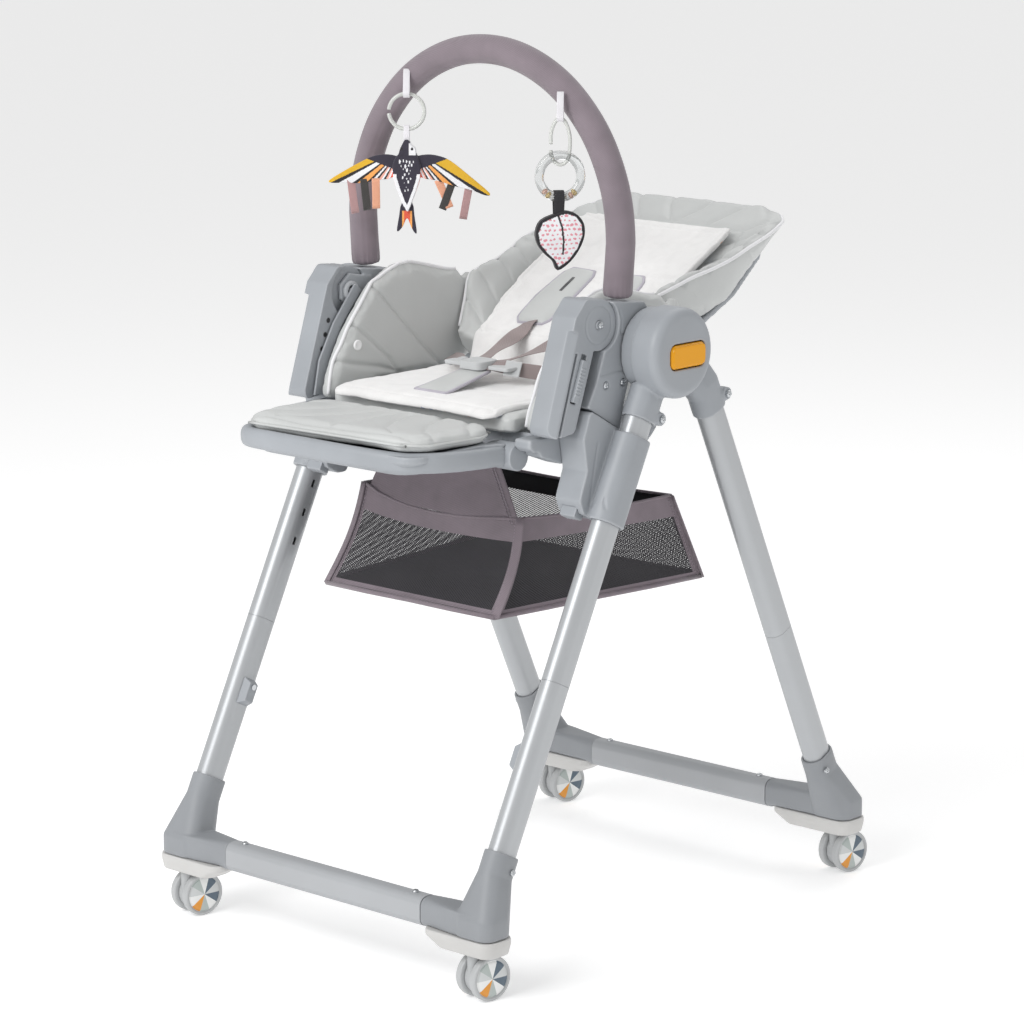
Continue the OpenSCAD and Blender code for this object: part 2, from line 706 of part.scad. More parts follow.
module caster_front_left_fork() color(SOLE) caster(-caster_x, stem_front_y) caster_fork();
module caster_front_left_wheels() color(SOLE)
    caster(-caster_x, stem_front_y) caster_wheels();
module caster_front_left_pedal() color(GREY)
    caster(-caster_x, stem_front_y) caster_pedal();
module caster_front_right_fork() color(SOLE) caster(caster_x, stem_front_y) caster_fork();
module caster_front_right_wheels() color(SOLE)
    caster(caster_x, stem_front_y) caster_wheels();
module caster_front_right_pedal() color(GREY)
    caster(caster_x, stem_front_y) caster_pedal();
module caster_rear_left_fork() color(SOLE) caster(-caster_x, stem_rear_y) caster_fork();
module caster_rear_left_wheels() color(SOLE)
    caster(-caster_x, stem_rear_y) caster_wheels();
module caster_rear_left_pedal() color(GREY) caster(-caster_x, stem_rear_y) caster_pedal();
module caster_rear_right_fork() color(SOLE) caster(caster_x, stem_rear_y) caster_fork();
module caster_rear_right_wheels() color(SOLE)
    caster(caster_x, stem_rear_y) caster_wheels();
module caster_rear_right_pedal() color(GREY) caster(caster_x, stem_rear_y) caster_pedal();

front_cross_bar();
front_feet();
front_foot_soles();
front_lower_tubes();
front_upper_tubes();
front_hubs();
fold_bumpers();
front_screws();
rear_cross_bar();
rear_feet();
rear_foot_soles();
rear_lower_tubes();
rear_upper_tubes();
rear_hubs();
rear_screws();
fold_button_left();
fold_button_right();
sliders();
brackets();
seat_pan();
seat_cushion();
side_wings();
seat_liner();
crotch_strap();
harness_buckle();
basket();
basket_panel();
carriage_screws();
height_trigger_left();
height_trigger_right();
backrest_shell();
backrest_cushion();
backrest_liner();
shoulder_pads();
recline_lever();
legrest_pan();
legrest_cushion();
legrest_tube();
arm_left();
arm_right();
arm_lever_left();
arm_lever_right();
play_arch();
arch_plugs();
bird_ring();
bird_body();
leaf_links();
leaf_body();
caster_front_left_fork();
caster_front_left_wheels();
caster_front_left_pedal();
caster_front_right_fork();
caster_front_right_wheels();
caster_front_right_pedal();
caster_rear_left_fork();
caster_rear_left_wheels();
caster_rear_left_pedal();
caster_rear_right_fork();
caster_rear_right_wheels();
caster_rear_right_pedal();
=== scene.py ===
import math

import bmesh
import bpy
import numpy as np
from mathutils import Matrix, Vector
from mathutils.bvhtree import BVHTree


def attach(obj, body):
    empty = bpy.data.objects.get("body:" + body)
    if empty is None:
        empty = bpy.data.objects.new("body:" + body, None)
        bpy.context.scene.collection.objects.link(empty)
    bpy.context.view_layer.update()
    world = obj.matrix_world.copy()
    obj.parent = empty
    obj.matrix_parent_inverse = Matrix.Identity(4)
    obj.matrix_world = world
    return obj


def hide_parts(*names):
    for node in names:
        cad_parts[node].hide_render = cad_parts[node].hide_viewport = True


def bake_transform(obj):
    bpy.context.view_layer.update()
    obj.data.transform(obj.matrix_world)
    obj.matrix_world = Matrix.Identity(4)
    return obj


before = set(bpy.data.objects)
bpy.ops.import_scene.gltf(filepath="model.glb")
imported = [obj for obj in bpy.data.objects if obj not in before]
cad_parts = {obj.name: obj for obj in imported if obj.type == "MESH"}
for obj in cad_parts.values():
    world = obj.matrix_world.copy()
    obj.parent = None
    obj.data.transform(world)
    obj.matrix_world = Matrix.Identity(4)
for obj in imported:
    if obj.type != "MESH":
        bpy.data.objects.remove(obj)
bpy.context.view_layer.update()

# ---- Studio: camera, floor and light -------------------------------------------------
# A pale seamless floor under three soft boxes. The camera looks down at the chair's
# right front corner through a long lens.
azimuth, elevation = math.radians(42.25), math.radians(11.80)
look_from = Vector((math.sin(azimuth) * math.cos(elevation),
                    -math.cos(azimuth) * math.cos(elevation), math.sin(elevation)))
camera = bpy.data.objects.new("camera", bpy.data.cameras.new("camera"))
camera.data.lens = 134.85
camera.data.sensor_width = 36
camera.data.clip_end = 100
camera.location = Vector((-0.306, 0.3116, 0.45)) + look_from * 5.718
camera.rotation_euler = (-look_from).to_track_quat("-Z", "Y").to_euler()
bpy.context.scene.collection.objects.link(camera)
bpy.context.scene.camera = camera
bpy.context.scene.view_settings.view_transform = "Standard"

world = bpy.data.worlds.new("studio")
world.use_nodes = True
world.node_tree.nodes["Background"].inputs["Color"].default_value = (1, 1, 1, 1)
world.node_tree.nodes["Background"].inputs["Strength"].default_value = 0.56
bpy.context.scene.world = world


def softbox(name, turn, height, distance, size, power):
    """A square area light, turned about the chair from the camera's side, aimed at the seat."""
    lamp = bpy.data.lights.new(name, "AREA")
    lamp.size = size
    lamp.energy = power
    place = bpy.data.objects.new(name, lamp)
    heading = azimuth + math.radians(turn)
    place.location = (math.sin(heading) * distance, -math.cos(heading) * distance, height)
    aim = Vector((0, 0, 0.6)) - place.location
    place.rotation_euler = aim.to_track_quat("-Z", "Y").to_euler()
    bpy.context.scene.collection.objects.link(place)


softbox("key_softbox", -44, 3.0, 3.4, 2.4, 96)
softbox("fill_softbox", 58, 2.0, 3.8, 2.6, 6)
softbox("top_softbox", 150, 3.6, 2.2, 2.4, 30)

floor_mesh = bpy.data.meshes.new("floor")
floor_mesh.from_pydata([(-60, -60, 0), (60, -60, 0), (60, 60, 0), (-60, 60, 0)], [],
                       [(0, 1, 2, 3)])
floor = bpy.data.objects.new("floor", floor_mesh)
bpy.context.scene.collection.objects.link(floor)
paper = bpy.data.materials.new("studio_paper")
paper.use_nodes = True
paper.node_tree.nodes["Principled BSDF"].inputs["Base Color"].default_value = (0.93, 0.93, 0.93, 1)
paper.node_tree.nodes["Principled BSDF"].inputs["Roughness"].default_value = 0.9
paper.node_tree.nodes["Principled BSDF"].inputs["Specular IOR Level"].default_value = 0.1
paper.node_tree.nodes["Principled BSDF"].inputs["Emission Color"].default_value = (1, 1, 1, 1)
paper.node_tree.nodes["Principled BSDF"].inputs["Emission Strength"].default_value = 0.30
floor_mesh.materials.append(paper)

# ---- Leg tubes -----------------------------------------------------------------------
# Four legs of flat-sided oval steel tube in two lengths each, sleeved together at a
# seam halfway down. They are powder coated in a satin light grey.
MM = 0.001


def srgb(red, green, blue):
    """A screen colour, 0 to 255, as the linear colour that a shader takes."""
    return tuple(((c / 255 + 0.055) / 1.055) ** 2.4 for c in (red, green, blue)) + (1.0,)


def wire_up(tree, kind, settings=None, **inputs):
    """Adds one shader node; an input is a value or the socket that feeds it."""
    made = tree.nodes.new("ShaderNode" + kind)
    for key, value in (settings or {}).items():
        setattr(made, key, value)
    for key, value in inputs.items():
        socket = made.inputs[key.replace("_", " ")]
        if isinstance(value, bpy.types.NodeSocket):
            tree.links.new(value, socket)
        else:
            socket.default_value = value
    return made


def colour_steps(tree, factor, *steps):
    """A colour ramp through (position, colour) steps."""
    ramp = wire_up(tree, "ValToRGB", Fac=factor)
    while len(ramp.color_ramp.elements) < len(steps):
        ramp.color_ramp.elements.new(0.5)
    for element, (position, colour) in zip(ramp.color_ramp.elements, steps):
        element.position = position
        element.color = colour
    return ramp.outputs["Color"]


def bare_finish(name, **sockets):
    """A new finish with plain values on its shader; returns it with its tree and shader."""
    made = bpy.data.materials.new(name)
    made.use_nodes = True
    shader = made.node_tree.nodes["Principled BSDF"]
    for key, value in sockets.items():
        shader.inputs[key.replace("_", " ")].default_value = value
    return made, made.node_tree, shader


def hard_finish(name, colour, rough, grain=1100.0, tone=0.07, painted_edge_highlight=0.16, **sockets):
    """Moulded or coated hard surface: cloudy tone, fine grain, and a painted highlight that pales
    the convex edges.
    """
    made, tree, shader = bare_finish(name, **sockets)
    where = wire_up(tree, "TexCoord").outputs["Object"]
    cloud = wire_up(tree, "TexNoise", Vector=where, Scale=9.0, Detail=4.0).outputs["Fac"]
    body = colour_steps(tree, cloud, (0.3, tuple(c * (1 - tone) for c in colour[:3]) + (1,)),
                        (0.7, tuple(min(1, c * (1 + tone)) for c in colour[:3]) + (1,)))
    # painted highlight: the colour is mixed towards pale grey on convex edges, found by pointiness
    edge = wire_up(tree, "NewGeometry").outputs["Pointiness"]
    edge_highlight_mask = wire_up(tree, "MapRange", Value=edge, From_Min=0.515, From_Max=0.60, To_Min=0.0,
                  To_Max=painted_edge_highlight).outputs["Result"]
    mix = wire_up(tree, "Mix", {"data_type": "RGBA"})
    tree.links.new(edge_highlight_mask, mix.inputs[0])
    tree.links.new(body, mix.inputs[6])
    # the pale grey of the painted edge highlight
    mix.inputs[7].default_value = (0.86, 0.87, 0.88, 1)
    tree.links.new(mix.outputs[2], shader.inputs["Base Color"])
    fine = wire_up(tree, "TexNoise", Vector=where, Scale=grain, Detail=2.0).outputs["Fac"]
    gloss = wire_up(tree, "MapRange", Value=cloud, From_Min=0.3, From_Max=0.7,
                    To_Min=rough * 0.86, To_Max=min(1, rough * 1.14)).outputs["Result"]
    tree.links.new(gloss, shader.inputs["Roughness"])
    bump = wire_up(tree, "Bump", Height=fine, Strength=0.35, Distance=0.00006)
    tree.links.new(bump.outputs["Normal"], shader.inputs["Normal"])
    return made


def dress(material, *nodes):
    """Gives a material to CAD parts that keep their own shape."""
    for name in nodes:
        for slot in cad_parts[name].material_slots:
            slot.material = material


tube_coat = hard_finish("satin_tube_coat", srgb(168, 171, 174), 0.36, grain=1500, tone=0.03,
                        Metallic=0.35, Coat_Weight=0.12, Coat_Roughness=0.3)
dress(tube_coat, "front_lower_tubes", "front_upper_tubes", "rear_lower_tubes",
      "rear_upper_tubes")

# ---- Feet, cross bars and soles ------------------------------------------------------
# Glass-filled nylon mouldings that grip the tube ends and the two cross bars. A paler
# sole plate is clipped under each one and takes the caster's stem.


def merged_copy(node):
    """A CAD part's mesh with its loose triangles joined."""
    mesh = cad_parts[node].data.copy()
    joined = bmesh.new()
    joined.from_mesh(mesh)
    bmesh.ops.remove_doubles(joined, verts=joined.verts, dist=1e-6)
    joined.to_mesh(mesh)
    joined.free()
    return mesh


def baked(obj):
    """Applies an object's modifiers and leaves it with the plain mesh that they give."""
    bpy.context.view_layer.update()
    ready = bpy.data.meshes.new_from_object(
        obj.evaluated_get(bpy.context.evaluated_depsgraph_get()))
    obj.modifiers.clear()
    obj.data = ready
    return obj


def link(name, mesh):
    made = bpy.data.objects.new(name, mesh)
    bpy.context.scene.collection.objects.link(made)
    return made


def rounded(obj, voxel, rounds):
    """Remeshes a closed shape on a fine grid and relaxes it, so that its edges get radii."""
    grid = obj.modifiers.new("grid", "REMESH")
    grid.mode = "VOXEL"
    grid.voxel_size = voxel * MM
    grid.use_smooth_shade = True
    relax = obj.modifiers.new("relax", "SMOOTH")
    relax.iterations = rounds
    relax.factor = 0.5
    return baked(obj)


def settle(obj, body, slot, material, *nodes):
    """Smooth shading, one material, the body it rides on and the CAD parts it stands for."""
    if material is not None:
        obj.data.materials.clear()
        obj.data.materials.append(material)
    obj.data.polygons.foreach_set("use_smooth", [True] * len(obj.data.polygons))
    if body:
        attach(obj, body)
    if nodes:
        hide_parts(*nodes)
    return obj


def moulding(name, node, body, slot, material, voxel, rounds):
    """A moulded part: the CAD solid with the radii that a real moulding has."""
    obj = rounded(link(name, merged_copy(node)), voxel, rounds)
    return settle(obj, body, slot, material, node)


foot_plastic = hard_finish("foot_nylon", srgb(146, 149, 153), 0.5, painted_edge_highlight=0.22)
sole_plastic = hard_finish("sole_plastic", srgb(200, 199, 197), 0.48)
moulding("front_feet_mouldings", "front_feet", "front_frame", "foot_grey", foot_plastic, 1.6, 9)
moulding("rear_feet_mouldings", "rear_feet", "rear_frame", "foot_grey", foot_plastic, 1.6, 9)
moulding("front_sole_plates", "front_foot_soles", "front_frame", "sole_plastic", sole_plastic,
         1.6, 4)
moulding("rear_sole_plates", "rear_foot_soles", "rear_frame", "sole_plastic", sole_plastic,
         1.6, 4)
dress(foot_plastic, "front_cross_bar", "rear_cross_bar")

# ---- Hubs and fold buttons -----------------------------------------------------------
# Nylon covers over the fold joint at the top of each pair of legs. The front leg's
# sleeve carries the outer cover, and a glossy amber button in its window frees the lock.
frame_plastic = hard_finish("frame_nylon", srgb(158, 162, 167), 0.46, painted_edge_highlight=0.3)
amber = hard_finish("amber_button", srgb(232, 160, 0), 0.3, tone=0.04, painted_edge_highlight=0.0,
                    Coat_Weight=0.25, Coat_Roughness=0.1, Specular_IOR_Level=0.25)
moulding("front_hub_covers", "front_hubs", "front_frame", "frame_grey", frame_plastic, 1.5, 7)
moulding("rear_hub_covers", "rear_hubs", "rear_frame", "frame_grey", frame_plastic, 1.5, 7)
for side in ("left", "right"):
    moulding(f"fold_button_face_{side}", f"fold_button_{side}", f"fold_button_{side}",
             "button_amber", amber, 1.0, 6)
moulding("leg_bumpers", "fold_bumpers", "front_frame", "frame_grey", frame_plastic, 1.0, 4)

# ---- Screws --------------------------------------------------------------------------
# Zinc-plated dome heads in the hubs, feet, bars and side brackets. The domed heads are
# set over the plain ones of the frame, each with a cross recess.
zinc = hard_finish("zinc_plate", srgb(196, 199, 202), 0.2, tone=0.05, painted_edge_highlight=0.2, Metallic=1.0)
dress(zinc, "front_screws", "rear_screws", "carriage_screws")


def socket_named(group, name):
    """The identifier of a named input of a node group."""
    return next(item.identifier for item in group.interface.items_tree
                if item.item_type == "SOCKET" and item.in_out == "INPUT" and item.name == name)


def new_tree(name, **numbers):
    """A geometry tree that takes a mesh and some named numbers, and ends in real geometry."""
    tree = bpy.data.node_groups.new(name, "GeometryNodeTree")
    tree.interface.new_socket("Geometry", in_out="INPUT", socket_type="NodeSocketGeometry")
    for key, value in numbers.items():
        made = tree.interface.new_socket(key.replace("_", " "), in_out="INPUT",
                                         socket_type="NodeSocketFloat")
        made.default_value = value
    tree.interface.new_socket("Geometry", in_out="OUTPUT", socket_type="NodeSocketGeometry")
    entry = tree.nodes.new("NodeGroupInput")
    return tree, entry


def tree_step(tree, kind, settings=None, **inputs):
    """Adds one geometry node; an input is a value or the socket that feeds it."""
    made = tree.nodes.new(kind)
    for key, value in (settings or {}).items():
        setattr(made, key, value)
    for key, value in inputs.items():
        socket = made.inputs[key.replace("_", " ")]
        if isinstance(value, bpy.types.NodeSocket):
            tree.links.new(value, socket)
        else:
            socket.default_value = value
    return made


def end_tree(tree, geometry, material):
    """Realises the copies, sets their material and closes the tree."""
    real = tree_step(tree, "GeometryNodeRealizeInstances", Geometry=geometry)
    coat = tree_step(tree, "GeometryNodeSetMaterial", Geometry=real.outputs[0],
                     Material=material)
    leave = tree.nodes.new("NodeGroupOutput")
    tree.links.new(coat.outputs[0], leave.inputs[0])


def grow(obj, tree, **numbers):
    """Runs a geometry tree on an object and keeps the plain mesh."""
    step = obj.modifiers.new("grow", "NODES")
    step.node_group = tree
    for key, value in numbers.items():
        step[socket_named(tree, key.replace("_", " "))] = value
    return baked(obj)


# one head, 1 wide and facing +Z, as a lathed dome with a cross pressed into it
head = bmesh.new()
bmesh.ops.create_uvsphere(head, u_segments=24, v_segments=12, radius=1.0)
for v in head.verts:
    v.co.z = max(v.co.z, 0.0) * 0.55
    cross = min(abs(v.co.x), abs(v.co.y)) < 0.14 and math.hypot(v.co.x, v.co.y) < 0.55
    if cross and v.co.z > 0.1:
        v.co.z -= 0.22
bmesh.ops.remove_doubles(head, verts=head.verts, dist=1e-4)
head_mesh = bpy.data.meshes.new("screw_head")
head.to_mesh(head_mesh)
head.free()
head_object = link("screw_head_pattern", head_mesh)

screw_tree, screw_in = new_tree("screw_heads", Head_Radius=0.0045)
spot = tree_step(screw_tree, "GeometryNodeInputNamedAttribute", {"data_type": "FLOAT_VECTOR"},
                 Name="facing")
turned = tree_step(screw_tree, "FunctionNodeAlignRotationToVector", {"axis": "Z"},
                   Vector=spot.outputs[0])
pattern = tree_step(screw_tree, "GeometryNodeObjectInfo", Object=head_object)
heads = tree_step(screw_tree, "GeometryNodeInstanceOnPoints",
                  Points=screw_in.outputs["Geometry"], Instance=pattern.outputs["Geometry"],
                  Rotation=turned.outputs[0], Scale=screw_in.outputs["Head Radius"])
end_tree(screw_tree, heads.outputs[0], zinc)


def screws(name, body, spots, radius=4.5):
    """Dome heads at (x, y, z) spots in millimetres, each facing its own way."""
    mesh = bpy.data.meshes.new(name)
    mesh.from_pydata([Vector(place) * MM for place, facing in spots], [], [])
    facings = mesh.attributes.new("facing", "FLOAT_VECTOR", "POINT")
    for value, (place, facing) in zip(facings.data, spots):
        value.vector = facing
    obj = grow(link(name, mesh), screw_tree, Head_Radius=radius * MM)
    return settle(obj, body, "screw_metal", None)


def mirrored(spots):
    """The spots and their mirror images across the chair's middle."""
    return spots + [((-x, y, z), (-fx, fy, fz)) for (x, y, z), (fx, fy, fz) in spots]


fold_axis_y, fold_axis_z = -37, 801
front_leg = {"tilt": -26.5, "offset": 0}
rear_leg = {"tilt": 25.1, "offset": 54}
hub_face, foot_face, bar_top = 293.4, 292.8, 121.4


def leg_spot(x, along, down, tilt, offset):
    """A place on a right leg: across the leg plane and down from the fold axis."""
    lean = math.radians(tilt)
    y, z = along + offset, -down
    return (x, fold_axis_y + y * math.cos(lean) - z * math.sin(lean),
            fold_axis_z + y * math.sin(lean) + z * math.cos(lean))


front_spots = [(leg_spot(hub_face, 23, 86, **front_leg), (1, 0, 0)),
               (leg_spot(foot_face, 8, 708, **front_leg), (1, 0, 0)),
               ((159, -386, bar_top), (0, 0, 1))]
rear_spots = [(leg_spot(hub_face, 23, 114, **rear_leg), (1, 0, 0)),
              (leg_spot(foot_face, -10, 724, **rear_leg), (1, 0, 0)),
              ((142, 348, bar_top), (0, 0, 1))]
screws("front_frame_screw_heads", "front_frame", mirrored(front_spots))
screws("rear_frame_screw_heads", "rear_frame", mirrored(rear_spots))

# ---- Casters -------------------------------------------------------------------------
# Twin-disc casters: two nylon discs on one axle beside a neck that swivels on its stem,
# with a brake pedal behind. Each outer face has a cap printed with plain wedges.
caster_grey = hard_finish("caster_nylon", srgb(178, 180, 181), 0.42)
pedal_grey = hard_finish("pedal_nylon", srgb(128, 131, 135), 0.5)
wedge_finishes = [hard_finish(f"cap_wedge_{tint}", srgb(*colour), 0.4, tone=0.03)
                  for tint, colour in (("pale", (205, 208, 208)), ("white", (235, 236, 235)),
                                       ("sage", (178, 187, 184)), ("slate", (88, 104, 118)),
                                       ("orange", (226, 150, 48)))]
wedge_order = (0, 3, 1, 2, 0, 1, 4, 2, 1, 3)
caster_side, wheel_middle, axle_height, trail, resting_swivel = 268, 14.5, 30, 15, -10


def add_lathe(made, profile, spin, material, turns=48):
    """Spins an open (radius, along) profile about X; spin maps the points to their place."""
    rings = []
    for k in range(turns):
        angle = 2 * math.pi * k / turns
        rings.append([made.verts.new(spin((along, r * math.cos(angle), r * math.sin(angle))))
                      for r, along in profile])
    for k in range(turns):
        near, far = rings[k], rings[(k + 1) % turns]
        for i in range(len(profile) - 1):
            face = made.faces.new((near[i], near[i + 1], far[i + 1], far[i]))
            face.material_index = material(k) if callable(material) else material
            face.smooth = True


def finish_mesh(made, name, merge=1e-6):
    """Merges, turns the faces outwards and makes the mesh."""
    bmesh.ops.remove_doubles(made, verts=made.verts, dist=merge)
    bmesh.ops.dissolve_degenerate(made, dist=merge / 2, edges=made.edges)
    bmesh.ops.recalc_face_normals(made, faces=made.faces)
    mesh = bpy.data.meshes.new(name)
    made.to_mesh(mesh)
    made.free()
    return mesh


def linked_piece(name, made, merge=1e-6):
    """A piece from the faces gathered so far."""
    return link(name, finish_mesh(made, name, merge))


disc_profile = [(0, -5.5), (24, -5.5), (28.6, -5.3), (29.7, -4.4), (30, -3), (30, 2.6),
                (29.6, 4.2), (28.4, 5.2), (27, 5.5), (25.8, 5.2), (25.2, 4.2), (24.4, 3.9)]
cap_profile = [(24.4, 3.9), (23.2, 4.0), (22.6, 4.7), (21.6, 5.1), (12, 5.4), (3, 5.5), (0, 5.5)]
for end, stem_y in (("front", -393), ("rear", 364)):
    for side, sign in (("left", -1), ("right", 1)):
        corner = f"caster_{end}_{side}"
        swivel = (Matrix.Translation((sign * caster_side * MM, stem_y * MM, 0))
                  @ Matrix.Rotation(math.radians(resting_swivel), 4, "Z"))
        wheels = bmesh.new()
        for out in (-1, 1):
            def stand(p, out=out):
                return swivel @ (Vector((out * (wheel_middle + p[0]), trail + p[1],
                                         axle_height + p[2])) * MM)
            add_lathe(wheels, disc_profile, stand, 0, 60)
            add_lathe(wheels, cap_profile, stand,
                      lambda k: 1 + wedge_order[k * 10 // 60], 60)
        add_lathe(wheels, [(0, -10), (4, -10), (4, 10), (0, 10)],
                  lambda p: swivel @ (Vector((p[0], trail + p[1], axle_height + p[2])) * MM), 0)
        pair = linked_piece(f"{corner}_twin_wheel", wheels)
        for material in [caster_grey] + wedge_finishes:
            pair.data.materials.append(material)
        settle(pair, corner + "_wheels", "sole_plastic", None, corner + "_wheels")
        moulding(f"{corner}_neck", corner + "_fork", corner + "_fork", "sole_plastic",
                 caster_grey, 0.9, 4)
        moulding(f"{corner}_brake_pedal", corner + "_pedal", corner + "_pedal",
                 "pedal_plastic", pedal_grey, 0.6, 4)

# ---- Sliders and side brackets -------------------------------------------------------
# A nylon sleeve slides on each front leg and holds a bracket in a cup beside it. The
# bracket carries the swing arm and the socket of the play arch, and is screwed on.


def distance_to(points, lines):
    """Shortest distance from each 2-D point to a set of polylines."""
    best = np.full(len(points), 1e9)
    for line in lines:
        line = np.array(line, float)
        for a, b in zip(line[:-1], line[1:]):
            step = b - a
            along = np.clip(((points - a) @ step) / max(step @ step, 1e-9), 0, 1)
            best = np.minimum(best, np.linalg.norm(points - a - along[:, None] * step, axis=1))
    return best


def read_points(obj):
    """A piece's points as an (n, 3) array of millimetres."""
    flat = np.empty(len(obj.data.vertices) * 3)
    obj.data.vertices.foreach_get("co", flat)
    return flat.reshape(-1, 3) / MM


def write_points(obj, points):
    obj.data.vertices.foreach_set("co", (points * MM).ravel())
    obj.data.update()


def read_normals(obj):
    flat = np.empty(len(obj.data.vertices) * 3)
    obj.data.vertex_normals.foreach_get("vector", flat)
    return flat.reshape(-1, 3)


def press_in(obj, flat_map, lines, depth, width, faces_seen=None):
    """Presses a groove into a surface along lines drawn in the plane that flat_map gives."""
    points, normals = read_points(obj), read_normals(obj)
    near = distance_to(flat_map(points), lines)
    push = depth * np.exp(-(near / width) ** 2)
    if faces_seen is not None:
        push = push * faces_seen(points, normals)
    write_points(obj, points - normals * push[:, None])


def side_plane(points):
    return points[:, 1:3]


def outward(points, normals):
    return (np.abs(normals[:, 0]) > 0.6) & (np.sign(normals[:, 0]) == np.sign(points[:, 0]))


brackets = moulding("side_brackets", "brackets", "carriage", "frame_grey", frame_plastic,
                    1.4, 4)
press_in(brackets, side_plane, [[(-128, 776), (-100, 778), (-74, 777)],
                                [(-72, 776), (-76, 752), (-84, 722)],
                                [(-93, 858), (-88, 846), (-89, 826), (-60, 822)]],
         1.3, 1.3, outward)
sliders = moulding("leg_sliders", "sliders", "carriage", "frame_grey", frame_plastic, 1.6, 8)
press_in(sliders, side_plane, [[(-141, 690), (-150, 650), (-158, 610)]], 1.0, 1.4,
         lambda p, n: (np.abs(p[:, 0]) > 240) & (np.abs(n[:, 0]) > 0.3))
for side in ("left", "right"):
    moulding(f"height_trigger_grip_{side}", f"height_trigger_{side}", f"height_trigger_{side}",
             "frame_grey", frame_plastic, 0.9, 3)
arm_pivot = (-128, 842)
screws("carriage_screw_heads", "carriage", mirrored(
    [((249, -118, 762), (1, 0, 0)), ((249, -84, 762), (1, 0, 0)), ((249, *arm_pivot), (1, 0, 0)),
     ((203.6, *arm_pivot), (-1, 0, 0))]), 4.6)
bosses = bmesh.new()
for sign in (-1, 1):
    add_lathe(bosses, [(7.5, 206), (7.5, 203), (8.5, 201.5), (12, 201.5), (13.5, 203),
                       (14, 206), (7.5, 206)],
              lambda p, s=sign: Vector((s * p[0], arm_pivot[0] + p[1],
                                        arm_pivot[1] + p[2])) * MM, 0)
settle(linked_piece("hinge_bosses", bosses), "carriage", "frame_grey", frame_plastic)

# ---- Seat pan ------------------------------------------------------------------------
# The hard grey tray under the seat, screwed between the two brackets, with lugs for the
# leg rest and the ears of the backrest's hinge.
moulding("seat_pan_tray", "seat_pan", "carriage", "frame_grey", frame_plastic, 2.2, 6)

# ---- Seat cushion --------------------------------------------------------------------
# A wipeable cover of coated fabric over foam. It rests flat on the pan and crowns a
# little between its edges.


def soft_finish(name, colour, rough, pore=420.0, crease_depth=0.0011, **sockets):
    """Coated fabric: fine pores, soft creases and a slightly clouded colour."""
    tone = 0.045
    made, tree, shader = bare_finish(name, **sockets)
    where = wire_up(tree, "TexCoord").outputs["Object"]
    cloud = wire_up(tree, "TexNoise", Vector=where, Scale=11.0, Detail=5.0).outputs["Fac"]
    shade = colour_steps(tree, cloud,
                         (0.28, tuple(c * (1 - tone) for c in colour[:3]) + (1,)),
                         (0.72, tuple(min(1, c * (1 + tone)) for c in colour[:3]) + (1,)))
    tree.links.new(shade, shader.inputs["Base Color"])
    gloss = wire_up(tree, "MapRange", Value=cloud, From_Min=0.3, From_Max=0.7,
                    To_Min=rough * 0.88, To_Max=min(1.0, rough * 1.12)).outputs["Result"]
    tree.links.new(gloss, shader.inputs["Roughness"])
    pores = wire_up(tree, "TexVoronoi", {"feature": "DISTANCE_TO_EDGE"}, Vector=where,
                    Scale=pore).outputs["Distance"]
    first = wire_up(tree, "Bump", Height=pores, Strength=0.3, Distance=0.00012)
    folds = wire_up(tree, "TexNoise", Vector=where, Scale=26.0, Detail=3.0,
                    Distortion=0.6).outputs["Fac"]
    second = wire_up(tree, "Bump", Height=folds, Strength=0.35, Distance=crease_depth,
                     Normal=first.outputs["Normal"])
    tree.links.new(second.outputs["Normal"], shader.inputs["Normal"])
    return made


def subdivided(obj, levels):
    finer = obj.modifiers.new("finer", "SUBSURF")
    finer.levels = finer.render_levels = levels
    return baked(obj)


def pillow(obj, voxel, cap, pressure=4.0, shrink=0.0, relax=3):
    """Sews a closed shape on an even grid and blows it up as stuffed cloth, within a cap."""
    rounded(obj, voxel, relax)
    if shrink:
        write_points(obj, read_points(obj) - read_normals(obj) * shrink)
    before = read_points(obj)
    cloth = obj.modifiers.new("stuffing", "CLOTH")
    cloth.settings.use_pressure = True
    cloth.settings.uniform_pressure_force = pressure
    cloth.settings.effector_weights.gravity = 0
    cloth.settings.quality = 3
    for step in range(1, 21):
        bpy.context.scene.frame_set(step)
    blown = obj.evaluated_get(bpy.context.evaluated_depsgraph_get())
    move = read_points(blown) - before
    size = np.linalg.norm(move, axis=1, keepdims=True)
    move *= np.minimum(1, cap / np.maximum(size, 1e-6))
    obj.modifiers.clear()
    bpy.context.scene.frame_set(1)
    write_points(obj, before + move)
    return subdivided(obj, 1)


def hold_between(obj, axis, low, high):
    """Keeps a soft piece off its neighbours: no point passes two planes."""
    points = read_points(obj)
    points[:, axis] = np.clip(points[:, axis], low, high)
    write_points(obj, points)


seat_cover = soft_finish("seat_cover", srgb(198, 200, 199), 0.5, Sheen_Weight=0.12,
                         Coat_Weight=0.06, Coat_Roughness=0.4)
cushion = link("seat_cushion_pad", merged_copy("seat_cushion"))
pillow(cushion, 5.0, 6.0, shrink=3.0)
hold_between(cushion, 2, 699.4, 725)
hold_between(cushion, 0, -175.5, 175.5)
settle(cushion, "carriage", "seat_cover", seat_cover, "seat_cushion")

